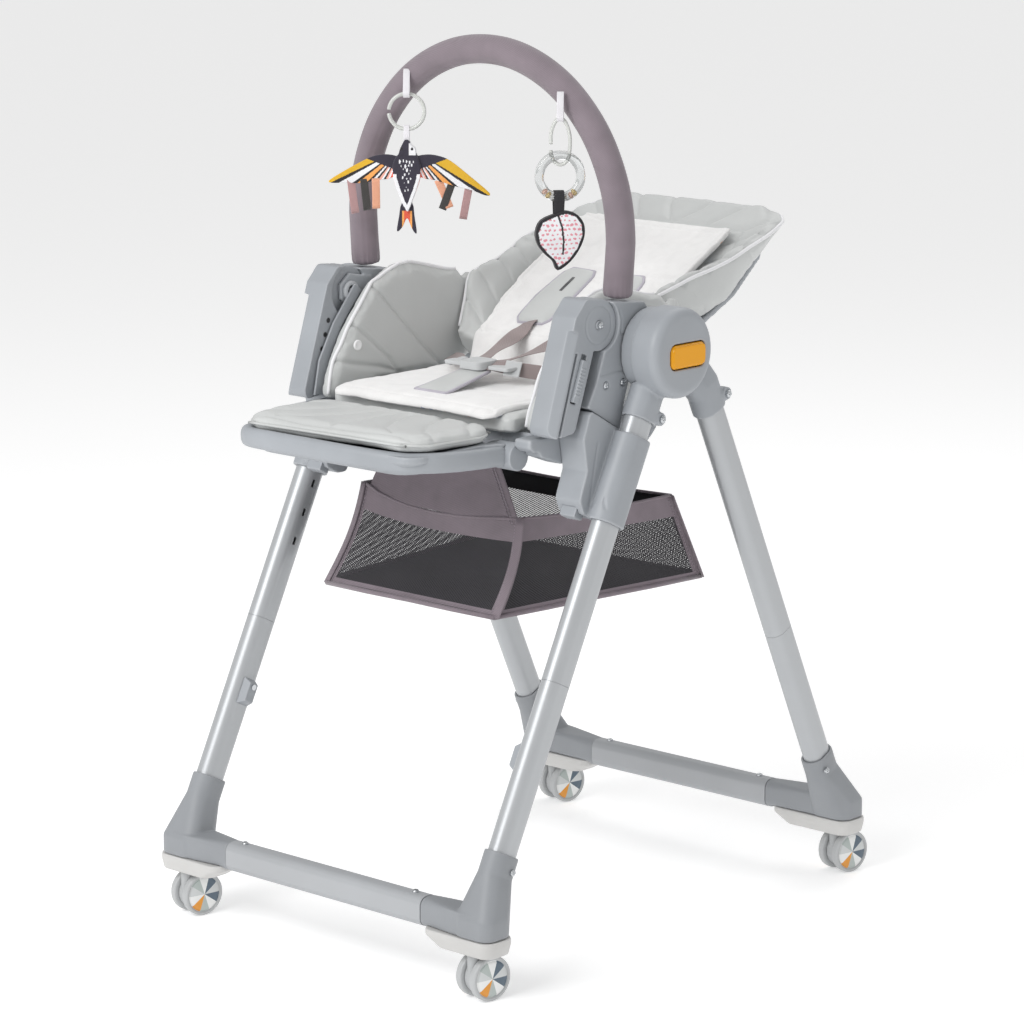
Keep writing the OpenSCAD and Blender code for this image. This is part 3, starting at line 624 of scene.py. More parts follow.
# ---- Side wings ----------------------------------------------------------------------
# Padded panels of the same cover beside the child, sewn with fanning seams and bound
# along the top in white. A hard backing stands behind each, and each has a snap button.
binding_white = soft_finish("white_binding", srgb(236, 236, 238), 0.55, pore=900,
                            crease_depth=0.0002, Sheen_Weight=0.2)
button_white = hard_finish("white_snap", srgb(240, 240, 240), 0.3)
wing_outline = [(-200, 705), (-190, 752), (-162, 800), (-120, 850), (-98, 864), (-66, 877),
                (-36, 880), (0, 873), (34, 864), (60, 860), (76, 846), (100, 846), (104, 800),
                (98, 748), (78, 720), (36, 712), (0, 715), (-60, 712), (-150, 704)]
fan_seams = [[(-118, 856), (-60, 800), (-10, 752), (24, 722)],
             [(-164, 810), (-120, 778), (-80, 744), (-56, 712)],
             [(-196, 757), (-150, 746), (-100, 736), (-60, 724)]]


def smooth_line(points, steps=8, closed=False):
    """A finer line through the points, rounded at each."""
    points = [Vector(p) for p in points]
    count = len(points)
    out = []
    for i in range(count if closed else count - 1):
        p0 = points[i - 1] if closed or i else points[0]
        p1, p2 = points[i], points[(i + 1) % count]
        p3 = points[(i + 2) % count] if closed or i + 2 < count else points[-1]
        for k in range(steps):
            t = k / steps
            out.append(0.5 * (2 * p1 + (p2 - p0) * t + (2 * p0 - 5 * p1 + 4 * p2 - p3) * t * t
                              + (3 * p1 - p0 - 3 * p2 + p3) * t ** 3))
    if not closed:
        out.append(points[-1])
    return out


def sweep(path, section, across=None, closed=False):
    """Carries a closed section (a, b) along a path; across fixes the first axis."""
    path = [Vector(p) for p in path]
    count = len(path)
    verts, faces = [], []
    side = None
    for i, p in enumerate(path):
        ahead = path[(i + 1) % count] if closed or i + 1 < count else path[i]
        behind = path[i - 1] if closed or i else path[0]
        forward = (ahead - behind).normalized()
        if across is not None:
            side = Vector(across(i) if callable(across) else across)
        elif side is None:
            side = forward.orthogonal()
        side = (side - forward * side.dot(forward)).normalized()
        up = forward.cross(side)
        verts += [p + side * a + up * b for a, b in (section(i) if callable(section)
                                                     else section)]
    sides = len(verts) // count
    for i in range(count if closed else count - 1):
        j = (i + 1) % count
        for k in range(sides):
            m = (k + 1) % sides
            faces.append((i * sides + k, i * sides + m, j * sides + m, j * sides + k))
    if not closed:
        faces.append(tuple(range(sides))[::-1])
        faces.append(tuple(range((count - 1) * sides, count * sides)))
    return verts, faces


def on_surface(obj, points, off):
    """Brings a line onto a piece's surface, off it by a little, with no two points too close."""
    closest = 2.5
    tree = BVHTree.FromPolygons([v.co for v in obj.data.vertices],
                                [p.vertices[:] for p in obj.data.polygons])
    out = []
    for p in points:
        spot, normal = tree.find_nearest(Vector(p) * MM)[:2]
        spot = spot / MM + normal * off
        if not out or (spot - out[-1]).length > closest:
            out.append(spot)
    return out


def build(name, *parts, merge=1e-6):
    """One closed mesh from parts of points (in millimetres) and faces."""
    made = bmesh.new()
    for verts, faces in parts:
        placed = [made.verts.new(Vector(v) * MM) for v in verts]
        for face in faces:
            made.faces.new([placed[k] for k in face])
    return linked_piece(name, made, merge)


def round_section(radius, sides=10):
    return [(radius * math.cos(2 * math.pi * k / sides),
             radius * math.sin(2 * math.pi * k / sides)) for k in range(sides)]


def flat_section(width, thick, sides=16):
    """A strap's section: a flat band with rounded edges."""
    turn = [2 * math.pi * k / sides for k in range(sides)]
    return [(width / 2 * math.copysign(abs(math.cos(a)) ** 0.35, math.cos(a)),
             thick / 2 * math.copysign(abs(math.sin(a)) ** 0.7, math.sin(a))) for a in turn]


def slab(outline, low, high, lift=lambda a, b, c: (a, b, c)):
    """A plate between two heights over an outline; lift turns (a, b, height) into a place."""
    n = len(outline)
    verts = [lift(a, b, low) for a, b in outline] + [lift(a, b, high) for a, b in outline]
    faces = [tuple(range(n))[::-1], tuple(range(n, 2 * n))]
    faces += [(i, (i + 1) % n, n + (i + 1) % n, n + i) for i in range(n)]
    return verts, faces


for side, sign in (("left", -1), ("right", 1)):
    wing = build(f"side_wing_{side}", slab(
        [(p.x, p.y) for p in smooth_line([(y, z, 0) for y, z in wing_outline], 3, True)],
        sign * 179.5, sign * 195.0, lambda y, z, x: (x, y, z)))
    pillow(wing, 4.0, 5.0, pressure=4.5, shrink=0.4, relax=4)
    if sign < 0:
        hold_between(wing, 0, -198.5, -172.5)
    else:
        hold_between(wing, 0, 172.5, 198.5)
    for depth, width in ((2.4, 4.6), (1.5, 1.6)):
        press_in(wing, side_plane, fan_seams, depth, width,
                 lambda p, n, s=sign: (n[:, 0] * s < -0.3) * 1.0)
    settle(wing, "carriage", "seat_cover", seat_cover)
    if sign < 0:
        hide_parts("side_wings")
    rim = on_surface(wing, smooth_line([(sign * 178, y - 3, z + 4) for y, z in
                                        wing_outline[:10]], 2), 0.5)
    settle(build(f"wing_binding_{side}", sweep(smooth_line(rim, 3), round_section(2.5))),
           "carriage", "seat_cover", binding_white)
    back = [(y - 5, z + 2) for y, z in wing_outline[:4]] + [(-112, 842), (-150, 798),
                                                          (-176, 752), (-186, 706)]
    backing = build(f"wing_backing_{side}", slab(back, sign * 199.6, sign * 203.0,
                                                 lambda y, z, x: (x, y, z)))
    settle(rounded(backing, 0.9, 4), "carriage", "frame_grey", frame_plastic)
    snap = bmesh.new()
    add_lathe(snap, [(0, -1), (6.5, -1), (7.5, 0.4), (7.2, 1.8), (5.6, 2.6), (4.8, 2.1),
                     (0, 2.3)],
              lambda p, s=sign: Vector((s * (174.6 - p[0]), -147 + p[1], 772 + p[2])) * MM, 0, 32)
    settle(linked_piece(f"snap_button_{side}", snap), "carriage", "seat_cover", button_white)

# ---- Seat liner ----------------------------------------------------------------------
# A loose quilted liner of white plush, printed cotton underneath. It lies on the seat
# cushion, and its front edge droops over the leg rest's pad.


def plush_finish(name, colour):
    """Short-pile velour: fuzzy bump, faint shading where the pile turns, strong sheen."""
    made, tree, shader = bare_finish(name, Roughness=0.95, Sheen_Weight=0.7,
                                     Sheen_Roughness=0.6, Specular_IOR_Level=0.15)
    where = wire_up(tree, "TexCoord").outputs["Object"]
    pile = wire_up(tree, "TexNoise", Vector=where, Scale=520.0, Detail=3.0).outputs["Fac"]
    turns = wire_up(tree, "TexNoise", Vector=where, Scale=34.0, Detail=5.0,
                    Distortion=0.8).outputs["Fac"]
    shade = colour_steps(tree, turns, (0.3, tuple(c * 0.93 for c in colour[:3]) + (1,)),
                         (0.62, colour))
    tree.links.new(shade, shader.inputs["Base Color"])
    first = wire_up(tree, "Bump", Height=pile, Strength=0.8, Distance=0.0009)
    second = wire_up(tree, "Bump", Height=turns, Strength=0.5, Distance=0.0016,
                     Normal=first.outputs["Normal"])
    tree.links.new(second.outputs["Normal"], shader.inputs["Normal"])
    return made


def print_finish(name):
    """Grey-white cotton with a sparse print of small coloured flecks."""
    made, tree, shader = bare_finish(name, Roughness=0.8, Sheen_Weight=0.2)
    where = wire_up(tree, "TexCoord").outputs["Object"]
    cells = wire_up(tree, "TexVoronoi", Vector=where, Scale=70.0)
    fleck = wire_up(tree, "MapRange", Value=cells.outputs["Distance"], From_Min=0.22,
                    From_Max=0.27, To_Min=1.0, To_Max=0.0).outputs["Result"]
    pick = wire_up(tree, "SeparateColor", Color=cells.outputs["Color"]).outputs["Red"]
    ink = colour_steps(tree, pick, (0.30, srgb(150, 150, 152)), (0.34, srgb(226, 140, 40)),
                       (0.60, srgb(226, 140, 40)), (0.66, srgb(40, 96, 160)))
    mix = wire_up(tree, "Mix", {"data_type": "RGBA"})
    tree.links.new(fleck, mix.inputs[0])
    mix.inputs[6].default_value = srgb(206, 206, 208)
    tree.links.new(ink, mix.inputs[7])
    tree.links.new(mix.outputs[2], shader.inputs["Base Color"])
    return made


plush = plush_finish("white_plush", srgb(240, 239, 238))
printed_cotton = print_finish("printed_cotton")


def two_faced(obj, under, direction):
    """Puts the second material on the faces that look along a direction."""
    obj.data.materials.append(under)
    for face in obj.data.polygons:
        if face.normal.dot(Vector(direction)) > 0.55:
            face.material_index = 1


def corner_round(half_a, low_b, high_b, radius):
    """The outline of a rounded rectangle, symmetric in its first coordinate."""
    out, steps = [], 6
    for cx, cy, start in ((half_a, high_b, 0), (-half_a, high_b, 90), (-half_a, low_b, 180),
                          (half_a, low_b, 270)):
        ox = cx - math.copysign(radius, cx)
        oy = cy - radius if cy == high_b else cy + radius
        for k in range(steps + 1):
            angle = math.radians(start + 90 * k / steps)
            out.append((ox + radius * math.cos(angle), oy + radius * math.sin(angle)))
    return out


liner = build("seat_liner_pad", slab(corner_round(150, -232, 28, 20), 722.8, 731.0))
pillow(liner, 3.6, 3.0, shrink=0.4)
hold_between(liner, 2, 721.9, 735)


def over_the_edge(points):
    droop = np.clip((-points[:, 1] - 190) / 42, 0, 1) ** 1.6
    corner = np.clip((np.abs(points[:, 0]) - 90) / 60, 0, 1)
    points[:, 2] -= droop * (5.0 + 1.0 * corner) - 0.8 * np.sin(points[:, 0] / 26) * droop
    return points


write_points(liner, over_the_edge(read_points(liner)))
for line_set, depth, width in (([[(-138, -214), (138, -214), (138, 30), (-138, 30),
                                  (-138, -214)]], 1.8, 2.6),
                               ([[(-138, -50), (138, -50)], [(-138, -134), (138, -134)]],
                                1.0, 5.0)):
    press_in(liner, lambda p: p[:, :2], line_set, depth, width,
             lambda p, n: (n[:, 2] > 0.4) * 1.0)
settle(liner, "carriage", "liner_plush", plush, "seat_liner")
two_faced(liner, printed_cotton, (0, 0, -1))

# ---- Backrest ------------------------------------------------------------------------
# A hard shell hinged at the back of the pan carries one long scooped cushion. Its walls
# rise beside the child and flare at the head, quilted in slanting channels with white
# piping along the rim.
recline, hinge_y, hinge_z = math.radians(29), 20, 700


def lay(x, up, out):
    """A place on the reclined backrest: across, up it and out of its surface."""
    return (x, hinge_y + up * math.cos(recline) - out * math.sin(recline),
            hinge_z + up * math.sin(recline) + out * math.cos(recline))


def unlay(points):
    """The same three measures of points in space."""
    y, z = points[:, 1] - hinge_y, points[:, 2] - hinge_z
    return np.stack([points[:, 0], y * math.cos(recline) + z * math.sin(recline),
                     z * math.cos(recline) - y * math.sin(recline)], axis=1)


moulding("backrest_back_shell", "backrest_shell", "backrest", "frame_grey", frame_plastic,
         2.0, 4)
rim_width = ((44, 168), (190, 171), (246, 189), (350, 188), (400, 176), (422, 156), (434, 128))
rim_height = ((40, 56), (60, 62), (119, 114), (178, 97), (264, 79), (350, 58), (420, 39),
              (434, 30))


def along(table, up):
    return float(np.interp(up, [a for a, b in table], [b for a, b in table]))


def cushion_ring(up):
    """Half of the cushion's section, from the middle underneath to the middle on top."""
    wide, high = along(rim_width, up), along(rim_height, up)
    foot = wide - (6 if up < 200 else 6 + 0.16 * (up - 200))
    floor_half = wide - 30 - 8 * min(1, (high - 45) / 60 if high > 45 else 0)
    floor = min(44.5, high + 4)
    return [(0, 13), (foot * 0.6, 13), (foot - 4, 13), (foot + 1, 17),
            (foot + (wide - foot) * 0.6, 0.5 * (13 + high)), (wide - 1, high - 9),
            (wide - 2.5, high - 3), (wide - 7, high), (wide - 13, high - 2.5),
            (wide - 18, high - 9), (floor_half + 4, floor + 0.25 * (high - floor)),
            (floor_half - 8, floor + 1.5), (floor_half - 24, floor), (floor_half * 0.4, floor),
            (0, floor)]


verts, faces = [], []
stations = [46, 54, 66, 82, 98, 114, 126, 142, 160, 178, 198, 218, 240, 262, 286, 310, 334,
            356, 378, 398, 414, 426, 433]
for up in stations:
    half = cushion_ring(up)
    ring = half + [(-x, n) for x, n in half[-2:0:-1]]
    verts += [lay(x, up, n) for x, n in ring]
around = len(ring)
for i in range(len(stations) - 1):
    for k in range(around):
        m = (k + 1) % around
        faces.append((i * around + k, i * around + m, (i + 1) * around + m,
                      (i + 1) * around + k))
faces += [tuple(range(around))[::-1],
          tuple(range((len(stations) - 1) * around, len(stations) * around))]
back_pad = build("backrest_cushion_pad", (verts, faces))
pillow(back_pad, 5.0, 4.5, pressure=5.0, relax=4, shrink=0.8)


def plan(points):
    return unlay(points)[:, :2]


def inner_side(points, normals):
    out = unlay(points + normals)[:, 2] - unlay(points)[:, 2]
    side = np.sign(points[:, 0]) * normals[:, 0]
    return np.clip((out - 0.1) * 3, 0, 1) + np.clip(-side * 3 - 0.6, 0, 1) * (out > -0.2)


channels = []
for s in (-1, 1):
    for up in (64, 104, 146, 188, 230, 272, 314):
        channels.append([(s * 118, up), (s * 150, up + 22), (s * 200, up + 38)])
    channels += [[(s * 128, 48), (s * 138, 180), (s * 146, 300), (s * 132, 352)],
                 [(s * 132, 352), (s * 160, 380), (s * 190, 392)],
                 [(s * 60, 352), (s * 92, 400), (s * 110, 440)],
                 [(0, 352), (s * 30, 396), (s * 44, 440)]]
channels.append([(-132, 352), (0, 358), (132, 352)])
for depth, width in ((2.8, 7.0), (1.3, 1.8)):
    press_in(back_pad, plan, channels, depth, width,
             lambda p, n: np.clip(inner_side(p, n), 0, 1))
press_in(back_pad, lambda p: unlay(p)[:, 1:3],
         [[(118, 8), (126, 60), (122, 118)], [(330, 8), (300, 50), (290, 80)]], 1.6, 2.4,
         lambda p, n: (n[:, 0] * np.sign(p[:, 0]) > 0.5) * 1.0)
settle(back_pad, "backrest", "seat_cover", seat_cover, "backrest_cushion")
rim_line = [(along(rim_width, up) + 5, up, along(rim_height, up) - 8)
            for up in (60, 80, 98, 112, 120, 130, 146, 170, 200, 230, 262, 300, 340, 372, 398,
                       414, 426, 433)]
head_line = rim_line + [(110, 440, 22), (60, 443, 24), (0, 444, 24)]
piping_path = [lay(*p) for p in head_line] + [lay(-x, u, n) for x, u, n in head_line[-2::-1]]
piping_path = on_surface(back_pad, smooth_line(piping_path, 3), 0.7)
for _ in range(3):
    piping_path = piping_path[:1] + [(a + b * 2 + c) / 4 for a, b, c in zip(
        piping_path, piping_path[1:], piping_path[2:])] + piping_path[-1:]
settle(build("backrest_piping", sweep(piping_path, round_section(2.5))),
       "backrest", "seat_cover", binding_white)

# ---- Backrest liner ------------------------------------------------------------------
# The upper half of the plush liner, lying in the scoop of the backrest with its edges
# turned up against the walls.
back_liner = build("backrest_liner_pad", slab(
    [(-122, 52), (122, 52), (134, 120), (138, 180), (139, 314), (134, 334), (116, 345),
     (-116, 345), (-134, 334), (-139, 314), (-138, 180), (-134, 120)], 48.6, 57.0, lay))
pillow(back_liner, 3.6, 3.0, shrink=0.4)


def turn_up(points):
    side = np.clip((np.abs(points[:, 0]) - 96) / 44, 0, 1) ** 2 * 15
    points[:, 1] -= side * math.sin(recline)
    points[:, 2] += side * math.cos(recline)
    return points


write_points(back_liner, turn_up(read_points(back_liner)))
press_in(back_liner, plan, [[(-112, 40), (-124, 130), (-129, 326), (129, 326), (124, 130),
                             (112, 40)]], 2.0, 2.8, lambda p, n: (inner_side(p, n) > 0.4) * 1.0)
press_in(back_liner, plan, [[(-130, 214), (130, 214)], [(0, 60), (0, 326)]], 1.2, 5.0,
         lambda p, n: (inner_side(p, n) > 0.4) * 1.0)
settle(back_liner, "backrest", "liner_plush", plush, "backrest_liner")
two_faced(back_liner, printed_cotton, (0, math.sin(recline), -math.cos(recline)))

# the liner runs on through the crease between seat and backrest
crease_path = smooth_line([(0, 6, 727.0), (0, 22, 729.5), (0, 31, 738), (0, 35, 750),
                           (0, 37, 760), lay(0, 54, 52.5), lay(0, 66, 52.5)], 5)
crease = build("liner_crease", sweep(
    crease_path, lambda i: [(a * (1 - 0.02 * i / len(crease_path)), b) for a, b in
                            flat_section(262, 9.5, 40)], across=(1, 0, 0)))
subdivided(crease, 1)
settle(crease, None, "liner_plush", plush)
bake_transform(crease)

# ---- Harness -------------------------------------------------------------------------
# Five-point harness: taupe webbing from the shoulder pads and the hips to a centre
# buckle, and a bound crotch pad that rises through the liner to it.


def woven_finish(name, colour, pitch, rough=0.8, contrast=0.16, **sockets):
    """Plain weave: over-and-under ribs both ways, with a slightly uneven dye."""
    made, tree, shader = bare_finish(name, Roughness=rough, **sockets)
    where = wire_up(tree, "TexCoord").outputs["Object"]
    warp = wire_up(tree, "TexWave", {"bands_direction": "DIAGONAL"}, Vector=where,
                   Scale=0.314 / pitch, Distortion=0.4)
    turned_round = wire_up(tree, "Mapping", Vector=where, Rotation=(0, 1.1, 1.57))
    weft = wire_up(tree, "TexWave", {"bands_direction": "DIAGONAL"},
                   Vector=turned_round.outputs["Vector"], Scale=0.314 / pitch, Distortion=0.4)
    both = wire_up(tree, "Math", {"operation": "MULTIPLY"})
    tree.links.new(warp.outputs["Fac"], both.inputs[0])
    tree.links.new(weft.outputs["Fac"], both.inputs[1])
    cloud = wire_up(tree, "TexNoise", Vector=where, Scale=24.0, Detail=4.0).outputs["Fac"]
    mixed = wire_up(tree, "Math", {"operation": "MULTIPLY_ADD"})
    tree.links.new(both.outputs[0], mixed.inputs[0])
    mixed.inputs[1].default_value = 0.5
    tree.links.new(cloud, mixed.inputs[2])
    shade = colour_steps(tree, mixed.outputs[0],
                         (0.3, tuple(c * (1 - contrast) for c in colour[:3]) + (1,)),
                         (0.9, tuple(min(1, c * (1 + contrast)) for c in colour[:3]) + (1,)))
    tree.links.new(shade, shader.inputs["Base Color"])
    bump = wire_up(tree, "Bump", Height=both.outputs[0], Strength=0.6, Distance=0.0003)
    folds = wire_up(tree, "Bump", Height=cloud, Strength=0.3, Distance=0.001,
                    Normal=bump.outputs["Normal"])
    tree.links.new(folds.outputs["Normal"], shader.inputs["Normal"])
    return made


lavender = woven_finish("lavender_binding", srgb(186, 182, 192), 0.0008, Sheen_Weight=0.2)
taupe = woven_finish("taupe_webbing", srgb(148, 135, 134), 0.0011, Sheen_Weight=0.15)
# black for the shoulder pads' slots, and painted shade in the arm's holes
black_slot_and_hole_shade = hard_finish("black_slot_and_hole_shade", srgb(34, 34, 36), 0.5)
clip_grey = hard_finish("buckle_plastic", srgb(196, 198, 199), 0.4)


def thread_tree(material):
    """Stitches: short rods laid end to end along the edges of a mesh."""
    tree, entry = new_tree(f"stitches_{material.name}", Pitch=0.0042, Length=0.0027,
                           Thickness=0.0006)
    line = tree_step(tree, "GeometryNodeMeshToCurve", Mesh=entry.outputs["Geometry"])
    even = tree_step(tree, "GeometryNodeResampleCurve", Curve=line.outputs[0])
    even.mode = "LENGTH"
    tree.links.new(entry.outputs["Pitch"], even.inputs["Length"])
    way = tree_step(tree, "GeometryNodeInputTangent")
    aim = tree_step(tree, "FunctionNodeAlignRotationToVector", {"axis": "Z"},
                    Vector=way.outputs[0])
    rod = tree_step(tree, "GeometryNodeMeshCylinder", {"fill_type": "TRIANGLE_FAN"}, Vertices=5,
                    Radius=entry.outputs["Thickness"], Depth=entry.outputs["Length"])
    laid = tree_step(tree, "GeometryNodeInstanceOnPoints", Points=even.outputs[0],
                     Instance=rod.outputs["Mesh"], Rotation=aim.outputs[0])
    end_tree(tree, laid.outputs[0], material)
    return tree


thread_finish = soft_finish("sewing_thread", srgb(206, 206, 208), 0.6, pore=1500)
mauve_thread = soft_finish("mauve_thread", srgb(150, 140, 148), 0.6, pore=1500)
thread_trees = {m.name: thread_tree(m) for m in (thread_finish, mauve_thread)}


def stitches(name, body, slot, lines, material, pitch=4.2, thickness=0.55):
    """Runs of stitches along polylines given in millimetres."""
    mesh = bpy.data.meshes.new(name)
    verts, edges = [], []
    for line in lines:
        edges += [(len(verts) + i, len(verts) + i + 1) for i in range(len(line) - 1)]
        verts += [Vector(p) * MM for p in line]
    mesh.from_pydata(verts, edges, [])
    obj = grow(link(name, mesh), thread_trees[material.name], Pitch=pitch * MM,
               Length=pitch * 0.62 * MM, Thickness=thickness * MM)
    return settle(obj, body, slot, None)


def draped(outline, crown, thick, lift):
    """A bound pad over a four-sided outline (left edge, right edge): crowned on top."""
    verts, faces = [], []
    left, right = outline
    rows, columns = 14, 16
    for top in (0, 1):
        for i in range(rows + 1):
            t = i / rows
            a = [np.interp(t, np.linspace(0, 1, len(left)), [p[k] for p in left])
                 for k in (0, 1)]
            b = [np.interp(t, np.linspace(0, 1, len(right)), [p[k] for p in right])
                 for k in (0, 1)]
            for j in range(columns + 1):
                s = j / columns
                edge = (1 - abs(2 * s - 1) ** 4) * (1 - abs(2 * t - 1) ** 8)
                height = thick * (0.5 + 0.5 * edge) + crown * edge if top else 0.0
                verts.append(lift(a[0] + (b[0] - a[0]) * s, a[1] + (b[1] - a[1]) * s, height))
    width = columns + 1
    base = (rows + 1) * width
    for i in range(rows):
        for j in range(columns):
            k = i * width + j
            faces.append((k, k + width, k + width + 1, k + 1))
            faces.append((base + k, base + k + 1, base + k + width + 1, base + k + width))
    rim = ([j for j in range(width)] + [(i + 1) * width + columns for i in range(rows)]
           + [rows * width + columns - 1 - j for j in range(columns)]
           + [(rows - 1 - i) * width for i in range(rows - 1)])
    for i, k in enumerate(rim):
        m = rim[(i + 1) % len(rim)]
        faces.append((k, m, base + m, base + k))
    return (verts, faces), [Vector(verts[base + k]) for k in rim]


for side, sign in (("left", -1), ("right", 1)):
    edge_in = [(sign * 24, 82), (sign * 17, 92), (sign * 16, 140), (sign * 18, 196),
               (sign * 24, 208)]
    edge_out = [(sign * 66, 80), (sign * 76, 92), (sign * 80, 140), (sign * 74, 196),
                (sign * 64, 210)]
    pad_mesh, pad_rim = draped((edge_in, edge_out), 3.2, 5.0,
                               lambda x, u, n: lay(x, u, 58.6 + n))
    pad = build(f"shoulder_pad_{side}", pad_mesh)
    subdivided(pad, 2)
    settle(pad, "backrest", "seat_cover", seat_cover)
    if sign < 0:
        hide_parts("shoulder_pads")
    low = [p - Vector(lay(0, 0, 1.2)) + Vector(lay(0, 0, 0)) for p in pad_rim]
    settle(build(f"shoulder_pad_binding_{side}", sweep(low, round_section(2.2), closed=True)),
           "backrest", "seat_cover", lavender)
    slot_path = [lay(sign * 40, u, n) for u, n in ((150, 66.8), (166, 67.0), (182, 66.6))]
    settle(build(f"shoulder_pad_slot_{side}", sweep(slot_path, flat_section(5, 1.6),
                                                    across=(1, 0, 0))),
           "backrest", "seat_cover", black_slot_and_hole_shade)
    # webbing from the pad's lower end to the buckle, then back to the hip
    down = smooth_line([lay(sign * 44, 96, 61), lay(sign * 44, 74, 63), lay(sign * 40, 52, 66),
                        (sign * 34, -2, 772), (sign * 24, -44, 764), (sign * 13, -78, 760)], 6)
    strap = build(f"shoulder_webbing_{side}", sweep(
        down, flat_section(25, 1.5),
        across=lambda i, s=sign, n=len(down): (1, -0.25 * s * i / n, 0.25 * math.sin(i / 3))))
    settle(strap, None, "mauve_fabric", taupe)
    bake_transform(strap)
    waist = smooth_line([(sign * 14, -90, 759), (sign * 44, -78, 756), (sign * 86, -40, 748),
                         (sign * 128, 2, 742), (sign * 158, 22, 738)], 6)
    settle(build(f"waist_webbing_{side}", sweep(
        waist, flat_section(22, 1.4), across=lambda i: (0.5, 1, 0.3 + 0.01 * i))),
        "carriage", "mauve_fabric", taupe)
    slider_path = [(sign * 42, -86, 757.5), (sign * 60, -74, 755)]
    clip = build(f"webbing_slider_{side}", sweep(slider_path, flat_section(28, 5),
                                                 across=(0.5, 1, 0.3)))
    settle(rounded(clip, 0.7, 3), "carriage", "sole_plastic", clip_grey)


def crotch_lift(x, t, n):
    """Up from the liner towards the buckle, in a smooth rise."""
    y = -186 + 92 * t
    z = 733.5 + 17 * t ** 1.7 + 2.5 * math.sin(math.pi * t)
    return (x * (1 - 0.16 * t), y, z + n)


crotch_mesh, crotch_rim = draped(([(-28, 0), (-26, 1)], [(28, 0), (26, 1)]), 2.4, 4.4,
                                 crotch_lift)
crotch = build("crotch_pad", crotch_mesh)
subdivided(crotch, 2)
settle(crotch, "carriage", "seat_cover", seat_cover, "crotch_strap")
settle(build("crotch_pad_binding", sweep([p + Vector((0, 0, -1.4)) for p in crotch_rim],
                                         round_section(2.2), closed=True)),
       "carriage", "seat_cover", lavender)

# the buckle: a domed shell, its press button and the two tongues
buckle_parts = [slab([(x * 0.94, y - 92) for x, y in corner_round(21, -22, 20, 9)], 754, 765)]
for sign in (-1, 1):
    buckle_parts.append(slab([(sign * (40 + x * 0.9), y - 88)
                              for x, y in corner_round(20, -12, 11, 5)][::sign], 754.5, 759.5))
buckle = rounded(build("harness_buckle_shell", *buckle_parts), 0.8, 6)
press_in(buckle, lambda p: p[:, :2], [[(-12, -104), (12, -104), (12, -84), (-12, -84),
                                        (-12, -104)]], 1.2, 1.0,
         lambda p, n: (n[:, 2] > 0.5) * 1.0)
settle(buckle, "carriage", "sole_plastic", clip_grey, "harness_buckle")

# ---- Leg rest ------------------------------------------------------------------------
# A moulded pan on two barrels, with a thick rail rolled around its front that dips in the
# middle. The padded cover has a piped edge and a fan of curved seams.
moulding("legrest_tray", "legrest_pan", "legrest", "frame_grey", frame_plastic, 2.0, 5)
rail_plan = [(164, -228), (166, -270), (166, -318), (158, -354), (134, -378), (90, -389),
             (30, -394), (-30, -394), (-90, -391), (-140, -384), (-160, -366), (-166, -330),
             (-166, -270), (-164, -236)]
rail_path = smooth_line([(x, y, 682.5 + 1.5 * math.cos((x + 15) / 70) - 7.5 * min(1, max(
    0, (y + 350) / 110))) for x, y in rail_plan], 8)
rail_section = [(9.5 * math.copysign(abs(math.cos(a)) ** 0.8, math.cos(a)),
                 13.5 * math.copysign(abs(math.sin(a)) ** 0.8, math.sin(a)))
                for a in [2 * math.pi * k / 24 for k in range(24)]]
rail = build("legrest_front_rail", sweep(rail_path, [(b, a) for a, b in rail_section],
                                         across=(0, 0, 1)))
settle(rounded(rail, 1.6, 3), "legrest", "frame_grey", frame_plastic)
moulding("legrest_barrels", "legrest_tube", "legrest", "frame_grey", frame_plastic, 1.3, 6)
knob = bmesh.new()
for sign in (-1, 1):
    add_lathe(knob, [(0, 0), (6, 0), (7, 1.5), (6.2, 5), (3.5, 7), (0, 7.5)],
              lambda p, s=sign: Vector((s * 124 + p[1], -246 + p[2], 663 - p[0])) * MM, 0, 24)
settle(linked_piece("legrest_knobs", knob), "legrest", "seat_cover", button_white)

leg_pad = build("legrest_cushion_pad", slab(corner_round(162, -386, -224, 40), 693.5, 712))
pillow(leg_pad, 4.2, 3.5, pressure=4.0, shrink=0.2, relax=2)
hold_between(leg_pad, 2, 692.5, 718)
fan = []
for s in (-1, 1):
    fan.append([(s * x, y) for x, y in ((24, -250), (40, -300), (66, -340), (104, -366))])
    fan.append([(s * x, y) for x, y in ((70, -238), (92, -290), (124, -330), (158, -346))])
    fan.append([(s * x, y) for x, y in ((112, -232), (134, -262), (162, -280))])
fan.append([(0, -246), (0, -374)])
fan.append([(-150, -372), (-60, -376), (60, -376), (150, -372)])
for depth, width in ((2.6, 7.0), (1.4, 1.8)):
    press_in(leg_pad, lambda p: p[:, :2], fan, depth, width,
             lambda p, n: (n[:, 2] > 0.35) * 1.0)


def curl(points):
    """The pad's front lifts a little off the rail on the right."""
    front = np.clip((-points[:, 1] - 262) / 120, 0, 1) ** 1.2
    rise = np.clip((points[:, 0] + 70) / 170, 0, 1)
    points[:, 2] += 3.5 * front * rise * rise * (3 - 2 * rise)
    return points


edge_line = on_surface(leg_pad, [(x, y, 701.5) for x, y in corner_round(166, -390, -222, 42)],
                       0.6)
write_points(leg_pad, curl(read_points(leg_pad)))
edge_line = [Vector(p) for p in curl(np.array([tuple(p) for p in edge_line]))]
settle(leg_pad, "legrest", "seat_cover", seat_cover, "legrest_cushion")
settle(build("legrest_piping", sweep(smooth_line(edge_line, 2, True), round_section(1.9),
                                     closed=True)),
       "legrest", "seat_cover", seat_cover)

